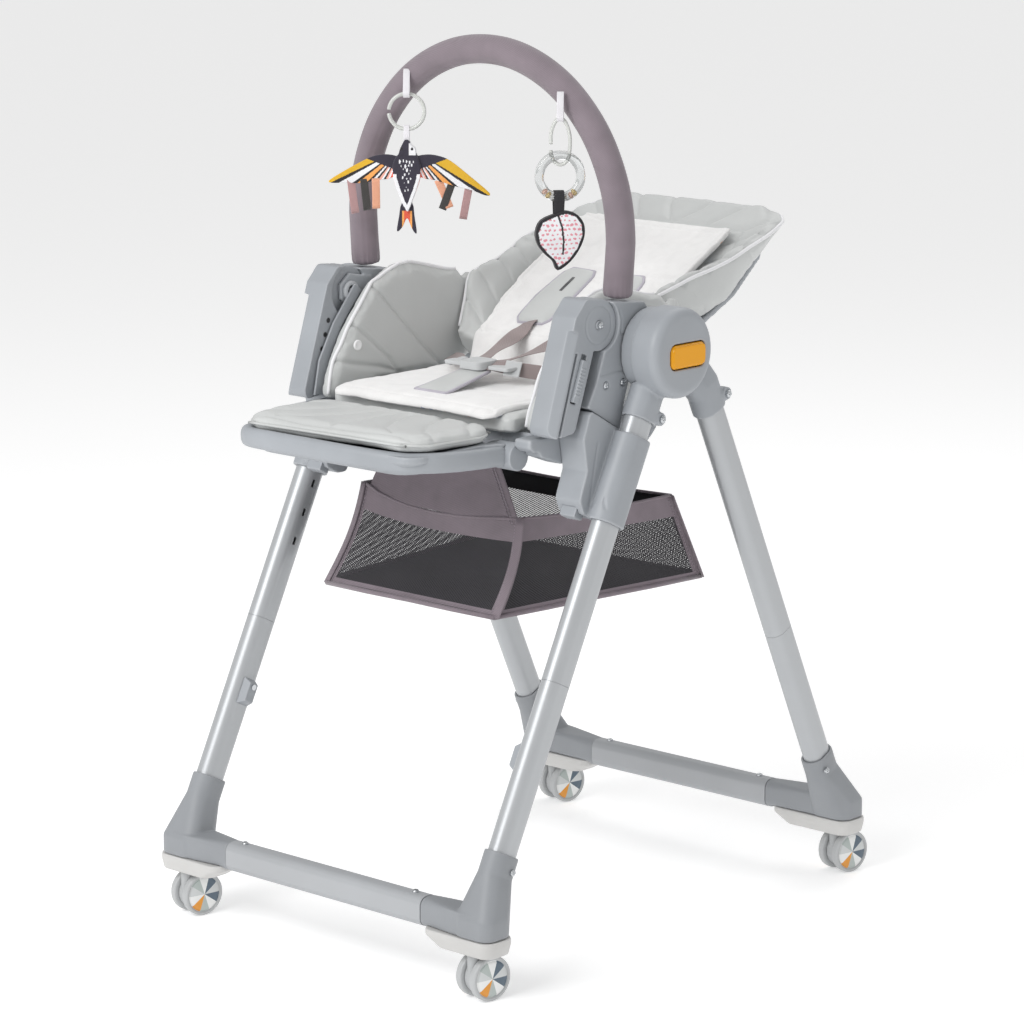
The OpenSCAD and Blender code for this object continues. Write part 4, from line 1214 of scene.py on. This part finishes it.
# ---- Basket --------------------------------------------------------------------------
# A storage bin of mauve cloth and black net, hung under the seat. The rim, the corners
# and the foot are bound with tape, and a stiff board lies on its dark floor.
mauve_cloth = woven_finish("mauve_cloth", srgb(128, 117, 124), 0.0013, Sheen_Weight=0.25)
black_cloth = woven_finish("black_cloth", srgb(40, 39, 42), 0.0013, contrast=0.25)


def net_finish(name, colour, pitch):
    """Open knitted net: threads across the piece's own map, and nothing between them."""
    made, tree, shader = bare_finish(name, Roughness=0.7)
    made.surface_render_method = "DITHERED"
    flat = wire_up(tree, "UVMap").outputs["UV"]
    threads = []
    for turn in (0.0, math.pi / 2):
        laid = wire_up(tree, "Mapping", Vector=flat, Rotation=(0, 0, turn + 0.5))
        wave = wire_up(tree, "TexWave", {"bands_direction": "X"},
                       Vector=laid.outputs["Vector"], Scale=0.314 / pitch)
        threads.append(wire_up(tree, "Math", {"operation": "GREATER_THAN"}))
        tree.links.new(wave.outputs["Fac"], threads[-1].inputs[0])
        threads[-1].inputs[1].default_value = 0.52
    joined = wire_up(tree, "Math", {"operation": "MAXIMUM"})
    tree.links.new(threads[0].outputs[0], joined.inputs[0])
    tree.links.new(threads[1].outputs[0], joined.inputs[1])
    tree.links.new(joined.outputs[0], shader.inputs["Alpha"])
    cloud = wire_up(tree, "TexNoise", Vector=flat, Scale=14.0, Detail=3.0).outputs["Fac"]
    tree.links.new(colour_steps(tree, cloud, (0.3, tuple(c * 0.8 for c in colour[:3]) + (1,)),
                                (0.7, colour)), shader.inputs["Base Color"])
    return made


net = net_finish("basket_net", srgb(62, 60, 64), 0.0026)
foot_corners = [(-155, -230, 457), (155, -230, 457), (196, 145, 457), (-196, 145, 457)]
rim_corners = [(-143, -168, 589), (143, -168, 578), (190, 86, 578), (-190, 86, 578)]


front_swell = 11


def rim_sag(wall, s):
    """How far the rim hangs between two corners of a wall."""
    return (19 * math.sin(math.pi * s ** 0.75) if wall == 0 else
            4 * math.sin(math.pi * s))


walls, columns, rows = bmesh.new(), 30, 16
net_map = walls.loops.layers.uv.new("net_map")
for w in range(4):
    a, b = Vector(foot_corners[w]), Vector(foot_corners[(w + 1) % 4])
    c, d = Vector(rim_corners[w]), Vector(rim_corners[(w + 1) % 4])
    inward = (b - a).cross(c - a).normalized()
    grid = []
    for i in range(rows + 1):
        t = i / rows
        for j in range(columns + 1):
            s = j / columns
            p = (a * (1 - s) + b * s) * (1 - t) + (c * (1 - s) + d * s) * t
            sag = math.sin(math.pi * s) * (1 - (2 * t - 1) ** 2)
            p = p - inward * (7 * sag + 1.4 * math.sin(9 * s + 3 * w) * t * (1 - t) * 4)
            p.z -= rim_sag(w, s) * t ** 3
            p.y += front_swell * math.sin(math.pi * t) * (
                1 if w == 0 else 1 - s if w == 1 else s if w == 3 else 0)
            grid.append((walls.verts.new(p * MM), s * (b - a).length, t * (c - a).length))
    for i in range(rows):
        for j in range(columns):
            k = i * (columns + 1) + j
            ring = (k, k + 1, k + columns + 2, k + columns + 1)
            face = walls.faces.new([grid[m][0] for m in ring])
            for loop, m in zip(face.loops, ring):
                loop[net_map].uv = (grid[m][1] * MM, grid[m][2] * MM)
            t, s = (i + 0.5) / rows, (j + 0.5) / columns
            back_wall = w == 2
            face.material_index = (0 if t > 0.72 and not back_wall else 2 if t > 0.72 else
                                   1 if 0.035 < s < 0.965 and t > 0.06 else 0)
bmesh.ops.remove_doubles(walls, verts=walls.verts, dist=0.0002)
basket_mesh = bpy.data.meshes.new("basket_walls")
walls.to_mesh(basket_mesh)
walls.free()
for material in (mauve_cloth, net, black_cloth):
    basket_mesh.materials.append(material)
basket = link("basket_walls", basket_mesh)
settle(basket, "carriage", "mauve_fabric", None, "basket")
settle(build("basket_floor_cloth", slab([(x, y) for x, y, z in foot_corners], 457, 459.5)),
       "carriage", "mauve_fabric", black_cloth)
tapes = []


def corner_line(w):
    """Up one corner of the bin, from its foot to its rim; the front ones swell forward."""
    a, b = Vector(foot_corners[w]), Vector(rim_corners[w])
    swell = front_swell if w < 2 else 0
    return [a.lerp(b, k / 12) + Vector((0, swell * math.sin(math.pi * k / 12), 0))
            for k in range(13)]


for w in range(4):
    a, b = Vector(foot_corners[w]), Vector(foot_corners[(w + 1) % 4])
    tapes.append(sweep([a, a.lerp(b, 0.25) + Vector((0, 0, -0.6)), a.lerp(b, 0.5),
                        a.lerp(b, 0.75) + Vector((0, 0, -0.6)), b], round_section(3.2)))
    out = Vector((math.copysign(1, a.x), 0, 0))
    tapes.append(sweep([p + out * 0.8 for p in corner_line(w)], flat_section(12, 2.6),
                       across=(1, 0.35 * math.copysign(1, a.x) * (1 if w < 2 else -1), 0)))
settle(build("basket_bound_edges", *tapes), "carriage", "mauve_fabric", mauve_cloth)
rim_cord = []
for w in range(4):
    c, d = Vector(rim_corners[w]), Vector(rim_corners[(w + 1) % 4])
    rim_cord += [c.lerp(d, k / 10) - Vector((0, 0, rim_sag(w, k / 10))) for k in range(10)]
settle(build("basket_rim_cord", sweep(rim_cord, round_section(2.0), closed=True)),
       "carriage", "mauve_fabric", mauve_cloth)
seam_lines = []
for w in range(4):
    for neighbour in ((w + 1) % 4, w - 1):
        way = (Vector(foot_corners[neighbour]) - Vector(foot_corners[w])).normalized()
        seam_lines.append(on_surface(basket, [p + way * 7 for p in corner_line(w)], 0.5))
stitches("basket_corner_stitches", "carriage", "mauve_fabric", seam_lines, mauve_thread, 4.6, 0.6)

# the front panel hangs the bin from the seat pan; tapes hold its sides
panel_rows, panel_columns, panel = 12, 16, []
for i in range(panel_rows + 1):
    t = i / panel_rows
    low, high = Vector((-138, -169, 574)), Vector((-112, -146, 657))
    low_r, high_r = Vector((136, -169, 572)), Vector((72, -146, 657))
    for j in range(panel_columns + 1):
        s = j / panel_columns
        p = (low * (1 - s) + low_r * s) * (1 - t) + (high * (1 - s) + high_r * s) * t
        p.y += 2 * math.sin(math.pi * t) * (0.5 + 0.5 * math.sin(math.pi * s))
        p.z -= 5 * math.sin(math.pi * s) * (1 - t)
        panel.append(p)
panel_width = panel_columns + 1
panel_faces = [(k, k + 1, k + panel_width + 1, k + panel_width)
               for k in range(panel_rows * panel_width) if k % panel_width < panel_columns]
front_panel = bmesh.new()
placed = [front_panel.verts.new(p * MM) for p in panel]
for face in panel_faces:
    front_panel.faces.new([placed[k] for k in face])
panel_mesh = bpy.data.meshes.new("basket_front_panel")
front_panel.to_mesh(panel_mesh)
front_panel.free()
hanging = link("basket_front_panel", panel_mesh)
settle(hanging, "carriage", "mauve_fabric", mauve_cloth, "basket_panel")
edge = panel[panel_columns::panel_width]
settle(build("basket_panel_hem", sweep(edge, flat_section(12, 2.6), across=(1, 0, 0))),
       "carriage", "mauve_fabric", mauve_cloth)
stitches("basket_panel_stitches", "carriage", "mauve_fabric",
         [[p + Vector((-9, -1, 0)) for p in edge], [p + Vector((-3, -2, 0)) for p in edge]],
         mauve_thread, 4.6, 0.6)
tape_cloth = woven_finish("pale_tape", srgb(214, 212, 206), 0.001)
for side, sign in (("left", -1), ("right", 1)):
    settle(build(f"basket_side_tape_{side}", sweep(
        [(sign * 177, -20, 576), (sign * 177.5, -20, 612), (sign * 177, -20, 650)],
        flat_section(20, 1.4), across=(0, 1, 0))), "carriage", "mauve_fabric", tape_cloth)

# ---- Swing arms ----------------------------------------------------------------------
# Two nylon arms that swing down to hold the tray, each turning on a boss of its bracket,
# with a rail along the front and a ribbed lever in a strip beside it.
for side, sign in (("left", -1), ("right", 1)):
    core = bmesh.new()
    core.from_mesh(merged_copy(f"arm_{side}"))
    verts, faces = slab([(-177, 842), (-190, 800), (-204, 756), (-190, 752), (-176, 798),
                         (-164, 838)], sign * 205.2, sign * 217, lambda y, z, x: (x, y, z))
    placed = [core.verts.new(Vector(v) * MM) for v in verts]
    for face in faces:
        core.faces.new([placed[k] for k in face])
    arm = rounded(linked_piece(f"swing_arm_{side}", core), 1.2, 4)
    settle(arm, f"arm_{side}", "frame_grey", frame_plastic, f"arm_{side}")
    # painted shade: three small black discs stand in for the shade inside the arm's holes
    painted_hole_shade = bmesh.new()
    for k in range(3):
        add_lathe(painted_hole_shade, [(0, 0), (3.4, 0), (3.8, 0.5), (3.2, 0.9), (2.6, 0.4), (0, 0.2)],
                  lambda p, s=sign, k=k: Vector((s * (205.4 - p[0]), -172 - 6.5 * k + p[1],
                                                 806 - 19 * k + p[2])) * MM, 0, 20)
    settle(linked_piece(f"arm_holes_{side}", painted_hole_shade), f"arm_{side}", "frame_grey",
           black_slot_and_hole_shade)
    press_in(arm, side_plane, [[(arm_pivot[0] + 25 * math.cos(k * math.pi / 12),
                                 arm_pivot[1] + 25 * math.sin(k * math.pi / 12))
                                for k in range(25)]], 0.9, 1.2, outward)
    moulding(f"swing_arm_lever_{side}", f"arm_lever_{side}", f"arm_lever_{side}",
             "frame_grey", frame_plastic, 0.6, 2)
dress(frame_plastic, "recline_lever", "arch_plugs")

# ---- Play arch -----------------------------------------------------------------------
# A bent steel tube in a foam sleeve of mauve cloth, gathered at both ends and seamed
# along the inside. Its plugs stand in the brackets' sockets, and two tapes hang from it.
arch_feet, arch_springing, arch_half, arch_rise, arch_y = 870, 942, 234, 238, -73
arch_line = [(229 + 5 * t, arch_y, arch_feet + (arch_springing - arch_feet) * t)
             for t in np.linspace(0, 1, 30)[:-1]]
arch_line += [(arch_half * math.cos(a), arch_y, arch_springing + arch_rise * math.sin(a))
              for a in np.linspace(0, math.pi, 150)]
arch_line += [(-x, y, z) for x, y, z in arch_line[28::-1]]
arch_sides = 56


def sleeve_section(i):
    """The padded sleeve: full along its length, gathered and pleated near its ends."""
    from_end = min(arch_travel[i], arch_travel[-1] - arch_travel[i])
    close = max(0.0, 1 - from_end / 15)
    radius = 19.4 * math.sqrt(max(0.0, 1 - close ** 2.6)) * (1 - 0.12 * close) + 8.6 * close ** 2
    fade = math.exp(-from_end / 13)
    out = []
    for k in range(arch_sides):
        angle = 2 * math.pi * k / arch_sides
        pleat = 1 + 0.075 * fade * math.cos(14 * angle + 2 * math.sin(3 * angle))
        wave = 1 + 0.010 * math.sin(arch_travel[i] / 21 + 2 * angle) * math.cos(
            arch_travel[i] / 34 + angle)
        seam = 1 - 0.028 * math.exp(-((angle - 2.35) / 0.07) ** 2)
        out.append((radius * pleat * wave * seam * math.cos(angle),
                    radius * pleat * wave * seam * math.sin(angle)))
    return out


arch_travel = [0.0]
for p, q in zip(arch_line, arch_line[1:]):
    arch_travel.append(arch_travel[-1] + (Vector(q) - Vector(p)).length)
sleeve = build("play_arch_sleeve", sweep(arch_line, sleeve_section, across=(0, 1, 0)))
settle(sleeve, "play_arch", "mauve_fabric", mauve_cloth, "play_arch")
toy_turn = math.radians(40)
bird_hook, leaf_hook = (-125, -99, 1117), (157, -105, 1105)


def by_hook(hook, x, out, z, turn=toy_turn):
    """A place beside a hook: across the toy, out towards its face and up."""
    return (hook[0] + x * math.cos(turn) + out * math.sin(turn),
            hook[1] + x * math.sin(turn) - out * math.cos(turn), hook[2] + z)


white_tape = woven_finish("white_tape", srgb(226, 224, 228), 0.0009)
loops = []
for hook in (bird_hook, leaf_hook):
    up = [by_hook(hook, 0, -9, 30), by_hook(hook, 0, -4, 24), by_hook(hook, 0, -1.2, 14),
          by_hook(hook, 0, -4.6, 6)]
    round_it = [by_hook(hook, 0, 7.4 * math.cos(a), 7.4 * math.sin(a))
                for a in [math.radians(150 + 24 * k) for k in range(11)]]
    back = [by_hook(hook, 0, 3.4, 7), by_hook(hook, 0, 0.6, 14), by_hook(hook, 0, -3, 24),
            by_hook(hook, 0, -8, 30)]
    loops.append(sweep(smooth_line(up + round_it[1:-1] + back, 3), flat_section(9, 1.1),
                       across=(math.cos(toy_turn), math.sin(toy_turn), 0)))
settle(build("toy_hang_tapes", *loops), "play_arch", "mauve_fabric", white_tape)

# ---- Bird toy ------------------------------------------------------------------------
# A flat stuffed bird with patterned wings and satin ribbons, hanging from an open
# plastic ring.
ring_plastic = hard_finish("pale_ring", srgb(226, 228, 224), 0.22, tone=0.02, painted_edge_highlight=0.05,
                           Transmission_Weight=0.35, Coat_Weight=0.3)
clear_plastic = hard_finish("clear_ring", srgb(238, 240, 240), 0.06, tone=0.01, painted_edge_highlight=0.0,
                            Transmission_Weight=0.92, IOR=1.46)
cloth_tints = {tint: woven_finish(f"toy_cloth_{tint}", srgb(*colour), 0.0007, contrast=0.1,
                                  Sheen_Weight=0.2)
               for tint, colour in (("navy", (52, 48, 62)), ("white", (240, 240, 243)),
                                    ("orange", (247, 170, 92)), ("pink", (240, 176, 160)),
                                    ("yellow", (226, 178, 44)), ("black", (38, 36, 40)),
                                    ("coral", (226, 96, 70)), ("rose", (226, 150, 160)))}
satin = {tint: woven_finish(f"satin_{tint}", srgb(*colour), 0.0005, rough=0.35, contrast=0.08,
                            Sheen_Weight=0.5)
         for tint, colour in (("rose", (188, 148, 148)), ("black", (56, 54, 52)),
                              ("peach", (246, 178, 144)))}
gap_ring = [by_hook(bird_hook, -24 * math.cos(a), 0, -26.5 + 24 * math.sin(a))
            for a in [math.radians(6 + 348 * k / 60) for k in range(61)]]
settle(build("bird_ring_link", sweep(gap_ring, round_section(2.7, 14))), "bird_toy",
       "toy_ring_plastic", ring_plastic, "bird_ring")


def stuffed(name, outlines, hook, turn, voxel=1.0, rounds=5):
    """Cloth shapes cut to outlines (x, down) and stuffed to a thickness, made as one."""
    parts = []
    for outline, thick in outlines:
        fine = smooth_line([(x, z, 0) for x, z in outline], 3, True)
        parts.append(slab([(p.x, p.y) for p in fine], -thick / 2, thick / 2,
                          lambda x, z, out: by_hook(hook, x, out, z, turn)))
    return rounded(build(name, *parts), voxel, rounds)


def inside(points, outline):
    """Which 2-D points lie inside an outline."""
    hit = np.zeros(len(points), bool)
    for (x0, y0), (x1, y1) in zip(outline, outline[1:] + outline[:1]):
        if y0 == y1:
            continue
        cross = (points[:, 1] > min(y0, y1)) & (points[:, 1] <= max(y0, y1))
        at = x0 + (points[:, 1] - y0) * (x1 - x0) / (y1 - y0)
        hit ^= cross & (points[:, 0] < at)
    return hit


def face_middles(obj, hook, turn):
    """Each face's middle in the toy's own plane: across and down from the hook."""
    flat = np.empty(len(obj.data.polygons) * 3)
    obj.data.polygons.foreach_get("center", flat)
    spots = flat.reshape(-1, 3) / MM - np.array(hook)
    return np.stack([spots[:, 0] * math.cos(turn) + spots[:, 1] * math.sin(turn),
                     spots[:, 2]], axis=1)


ring_down = -26.5
bird_body = [(x, z + ring_down) for x, z in (
    (-2.5, -38), (2.5, -38), (6, -44), (12, -50), (13, -57), (16, -64), (19, -76), (18, -90),
    (13, -106), (7, -122), (1, -136), (-7, -122), (-13, -106), (-18, -90), (-19, -76),
    (-16, -64), (-11, -57), (-9, -50), (-6, -44))]
tail = [(x, z + ring_down) for x, z in ((-7, -124), (7, -124), (10, -142), (13, -166),
                                        (6, -158), (0, -144), (-6, -156), (-14, -163),
                                        (-11, -142))]
wings = {}
for sign, tip, trail_edge in ((-1, (-106, -94), (-62, -97)), (1, (112, -110), (66, -101))):
    wings[sign] = [(x, z + ring_down) for x, z in (
        (sign * 10, -64), (sign * 26, -58), (sign * 44, -60), (sign * 60, -67),
        (sign * 84, -80 if sign < 0 else -86), tip, (tip[0] - sign * 6, tip[1] - 3),
        ((tip[0] + trail_edge[0]) / 2, (tip[1] + trail_edge[1]) / 2 - 1), trail_edge,
        (sign * 40, -93), (sign * 18, -88))]
bird = stuffed("stuffed_bird", [(bird_body, 15), (tail, 5), (wings[-1], 6), (wings[1], 6)],
               bird_hook, toy_turn, 0.95, 6)
for tint in ("navy", "white", "orange", "pink", "yellow", "black", "coral"):
    bird.data.materials.append(cloth_tints[tint])
middles = face_middles(bird, bird_hook, toy_turn)
x, z = middles[:, 0], middles[:, 1] - ring_down
tint_of = np.zeros(len(middles), int)
stripe_order = (4, 5, 1, 1, 5, 2, 2, 5, 1, 5, 3, 1, 5, 3, 1, 6)
for sign in (-1, 1):
    # feathers: bands from the navy shoulder out to the trailing edge
    root_a, root_b = (sign * 56, -63), (sign * 17, -78)
    tip = (-108, -92) if sign < 0 else (114, -108)
    root_way = np.array(root_b) - np.array(root_a)
    feather = ((x * sign > 12) & (z < -60)
               & ((x - root_a[0]) * root_way[1] * sign - (z - root_a[1]) * root_way[0] * sign
                  < 0) & (z > -125))
    angle = np.arctan2(z + 49, x * sign - 6)
    first, last = math.atan2(tip[1] + 49, tip[0] * sign - 6), math.atan2(-96 + 49, 22 - 6)
    share = np.clip((angle - first) / (last - first), 0, 0.999)
    band = (share * len(stripe_order)).astype(int)
    tint_of = np.where(feather & ~inside(middles, bird_body),
                       np.array(stripe_order)[band], tint_of)
belly = distance_to(middles, [bird_body + bird_body[:1]])
tint_of = np.where(inside(middles, bird_body) & (z < -84) & (belly < 4.6), 1, tint_of)
tint_of = np.where((x > 3) & (x < 13) & (z > -58) & (z < -42), 1, tint_of)
for ex, ez in ((7.5, -50), (-6.5, -50)):
    tint_of = np.where(np.hypot(x - ex, z - ez) < 1.9, 5, tint_of)
for row in range(8):
    for col in range(-2, 3):
        dx = col * 4.8 + (2.4 if row % 2 else 0) + 0.7 * math.sin(7 * row + 5 * col)
        dz = -67 - 5.6 * row + 1.0 * math.sin(3 * row + 11 * col)
        big = 1.0 + 0.35 * math.sin(4 * row + 9 * col) - 0.05 * row
        if abs(dx) < 11 - row * 1.2:
            tint_of = np.where(np.hypot((x - dx) / (1.1 * big), (z - dz) / (2.1 * big)) < 1, 1,
                               tint_of)
tail_face = (z < -134) & (np.abs(x) < 20)
tint_of = np.where(tail_face & (np.abs(x) < 7), 2, tint_of)
tint_of = np.where(tail_face & (np.abs(x) < 4), 6, tint_of)
bird.data.polygons.foreach_set("material_index", tint_of.astype(np.int32))
settle(bird, "bird_toy", "bird_fabric", None, "bird_body")
strap_down = [by_hook(bird_hook, 0, out, ring_down + z) for out, z in
              ((3.2, -42), (3.6, -30), (2.6, -21), (0, -18.6), (-2.6, -21), (-3.6, -30),
               (-3.2, -42))]
settle(build("bird_hang_strap", sweep(smooth_line(strap_down, 4), flat_section(8, 1.0),
                                      across=(math.cos(toy_turn), math.sin(toy_turn), 0))),
       "bird_toy", "bird_fabric", white_tape)
for number, (tint, top_x, top_z, foot_x, foot_z) in enumerate((
        ("rose", -76, -92, -70, -138), ("black", -58, -91, -54, -134),
        ("peach", -42, -90, -42, -132), ("peach", 42, -92, 58, -130),
        ("black", 62, -94, 48, -132), ("rose", 84, -101, 76, -145))):
    fall = [by_hook(bird_hook, top_x + (foot_x - top_x) * t,
                    1.2 + 3.0 * math.sin(3 * t + number), ring_down + top_z
                    + (foot_z - top_z) * t) for t in np.linspace(0, 1, 9)]
    settle(build(f"bird_ribbon_{number}", sweep(
        fall, flat_section(11, 0.7), across=(math.cos(toy_turn + 0.3), math.sin(toy_turn + 0.3),
                                             0.0))), "bird_toy", "bird_fabric", satin[tint])

# ---- Leaf toy ------------------------------------------------------------------------
# A stuffed leaf on a black strap, under a clear rattle ring with beads that hangs from
# an open clear link.
link_path = [(0, -3.4), (-6.5, -9), (-11.6, -22), (-12.2, -38), None, (-12.4, -46),
             (-9.5, -58), (0, -64.6), (9, -59), (12.3, -46), (12.2, -26), (6.8, -9.5),
             (0, -3.4)]
upper = [by_hook(leaf_hook, x, 0, z + 0.7) for x, z in link_path[:4]]
lower = [by_hook(leaf_hook, x, 0, z + 0.7) for x, z in link_path[5:]]
settle(build("leaf_clear_link", sweep(smooth_line(upper, 5), round_section(2.5, 12)),
             sweep(smooth_line(lower, 5), round_section(2.5, 12))), "leaf_toy",
       "toy_ring_plastic", ring_plastic, "leaf_links")
rattle_turn = toy_turn + math.radians(12)
rattle = [by_hook(leaf_hook, 27.5 * math.cos(a), 0, -79 + 27.5 * math.sin(a), rattle_turn)
          for a in [2 * math.pi * k / 64 for k in range(64)]]
settle(build("leaf_rattle_ring", sweep(rattle, round_section(6.2, 20), closed=True)),
       "leaf_toy", "toy_ring_plastic", clear_plastic)
bead_finishes = [hard_finish(f"bead_{tint}", srgb(*colour), 0.3) for tint, colour in (
    ("peach", (240, 180, 150)), ("gold", (222, 184, 60)), ("white", (236, 236, 236)))]
beads = bmesh.new()
for number, degrees in enumerate((222, 236, 248, 262, 276, 290, 300, 312)):
    a = math.radians(degrees)
    spot = Vector(by_hook(leaf_hook, 27.5 * math.cos(a), 0.6 * (-1) ** number,
                          -79 + 28.6 * math.sin(a), rattle_turn))
    made = bmesh.ops.create_icosphere(beads, subdivisions=2, radius=3.4 * MM,
                                      matrix=Matrix.Translation(spot * MM))
    for vert in made["verts"]:
        for face in vert.link_faces:
            face.material_index = number % 3
beads_mesh = bpy.data.meshes.new("beads")
beads.to_mesh(beads_mesh)
beads.free()
for material in bead_finishes:
    beads_mesh.materials.append(material)
settle(link("rattle_beads", beads_mesh), "leaf_toy", "leaf_fabric", None)
leaf_outline = [(-5, -127), (8, -124), (22, -129), (31, -141), (32, -157), (25, -175),
                (12, -192), (-4, -202), (-10, -190), (-20, -181), (-30, -168), (-33, -152),
                (-26, -136)]
leaf = stuffed("stuffed_leaf", [(leaf_outline, 12)], leaf_hook, rattle_turn, 0.95, 6)
for tint in ("white", "black", "rose"):
    leaf.data.materials.append(cloth_tints[tint])
middles = face_middles(leaf, leaf_hook, rattle_turn)
tint_of = np.zeros(len(middles), int)
spots = np.random.default_rng(7)
for k in range(110):
    sx = -30 + 6.4 * (k % 10) + (3.2 if k // 10 % 2 else 0) + spots.uniform(-1, 1)
    sz = -130 - 6.2 * (k // 10) + spots.uniform(-1, 1)
    tilt, size = spots.uniform(-0.6, 0.6), spots.uniform(0.9, 1.8)
    dx, dz = middles[:, 0] - sx, middles[:, 1] - sz
    u, v = dx * math.cos(tilt) + dz * math.sin(tilt), dz * math.cos(tilt) - dx * math.sin(tilt)
    tint_of = np.where(np.hypot(u / (1.5 * size), v / size) < 1, 2, tint_of)
rim = distance_to(middles, [leaf_outline + leaf_outline[:1]])
vein = distance_to(middles, [[(-4, -128), (2, -146), (4, -164), (3, -180)]])
tint_of = np.where((rim < 3.4) | (vein < 1.3), 1, tint_of)
leaf.data.polygons.foreach_set("material_index", tint_of.astype(np.int32))
settle(leaf, "leaf_toy", "leaf_fabric", None, "leaf_body")
leaf_strap = [by_hook(leaf_hook, -2, out, z, rattle_turn) for out, z in
              ((3.4, -128), (5.5, -116), (7.2, -108), (4.5, -99.5), (0, -97.5),
               (-4.5, -99.5), (-7.2, -108), (-5.5, -116), (-3.4, -128))]
settle(build("leaf_strap", sweep(smooth_line(leaf_strap, 4), flat_section(14, 1.3),
                                 across=(math.cos(rattle_turn), math.sin(rattle_turn), 0))),
       "leaf_toy", "leaf_fabric", cloth_tints["black"])

bpy.data.objects.remove(head_object)
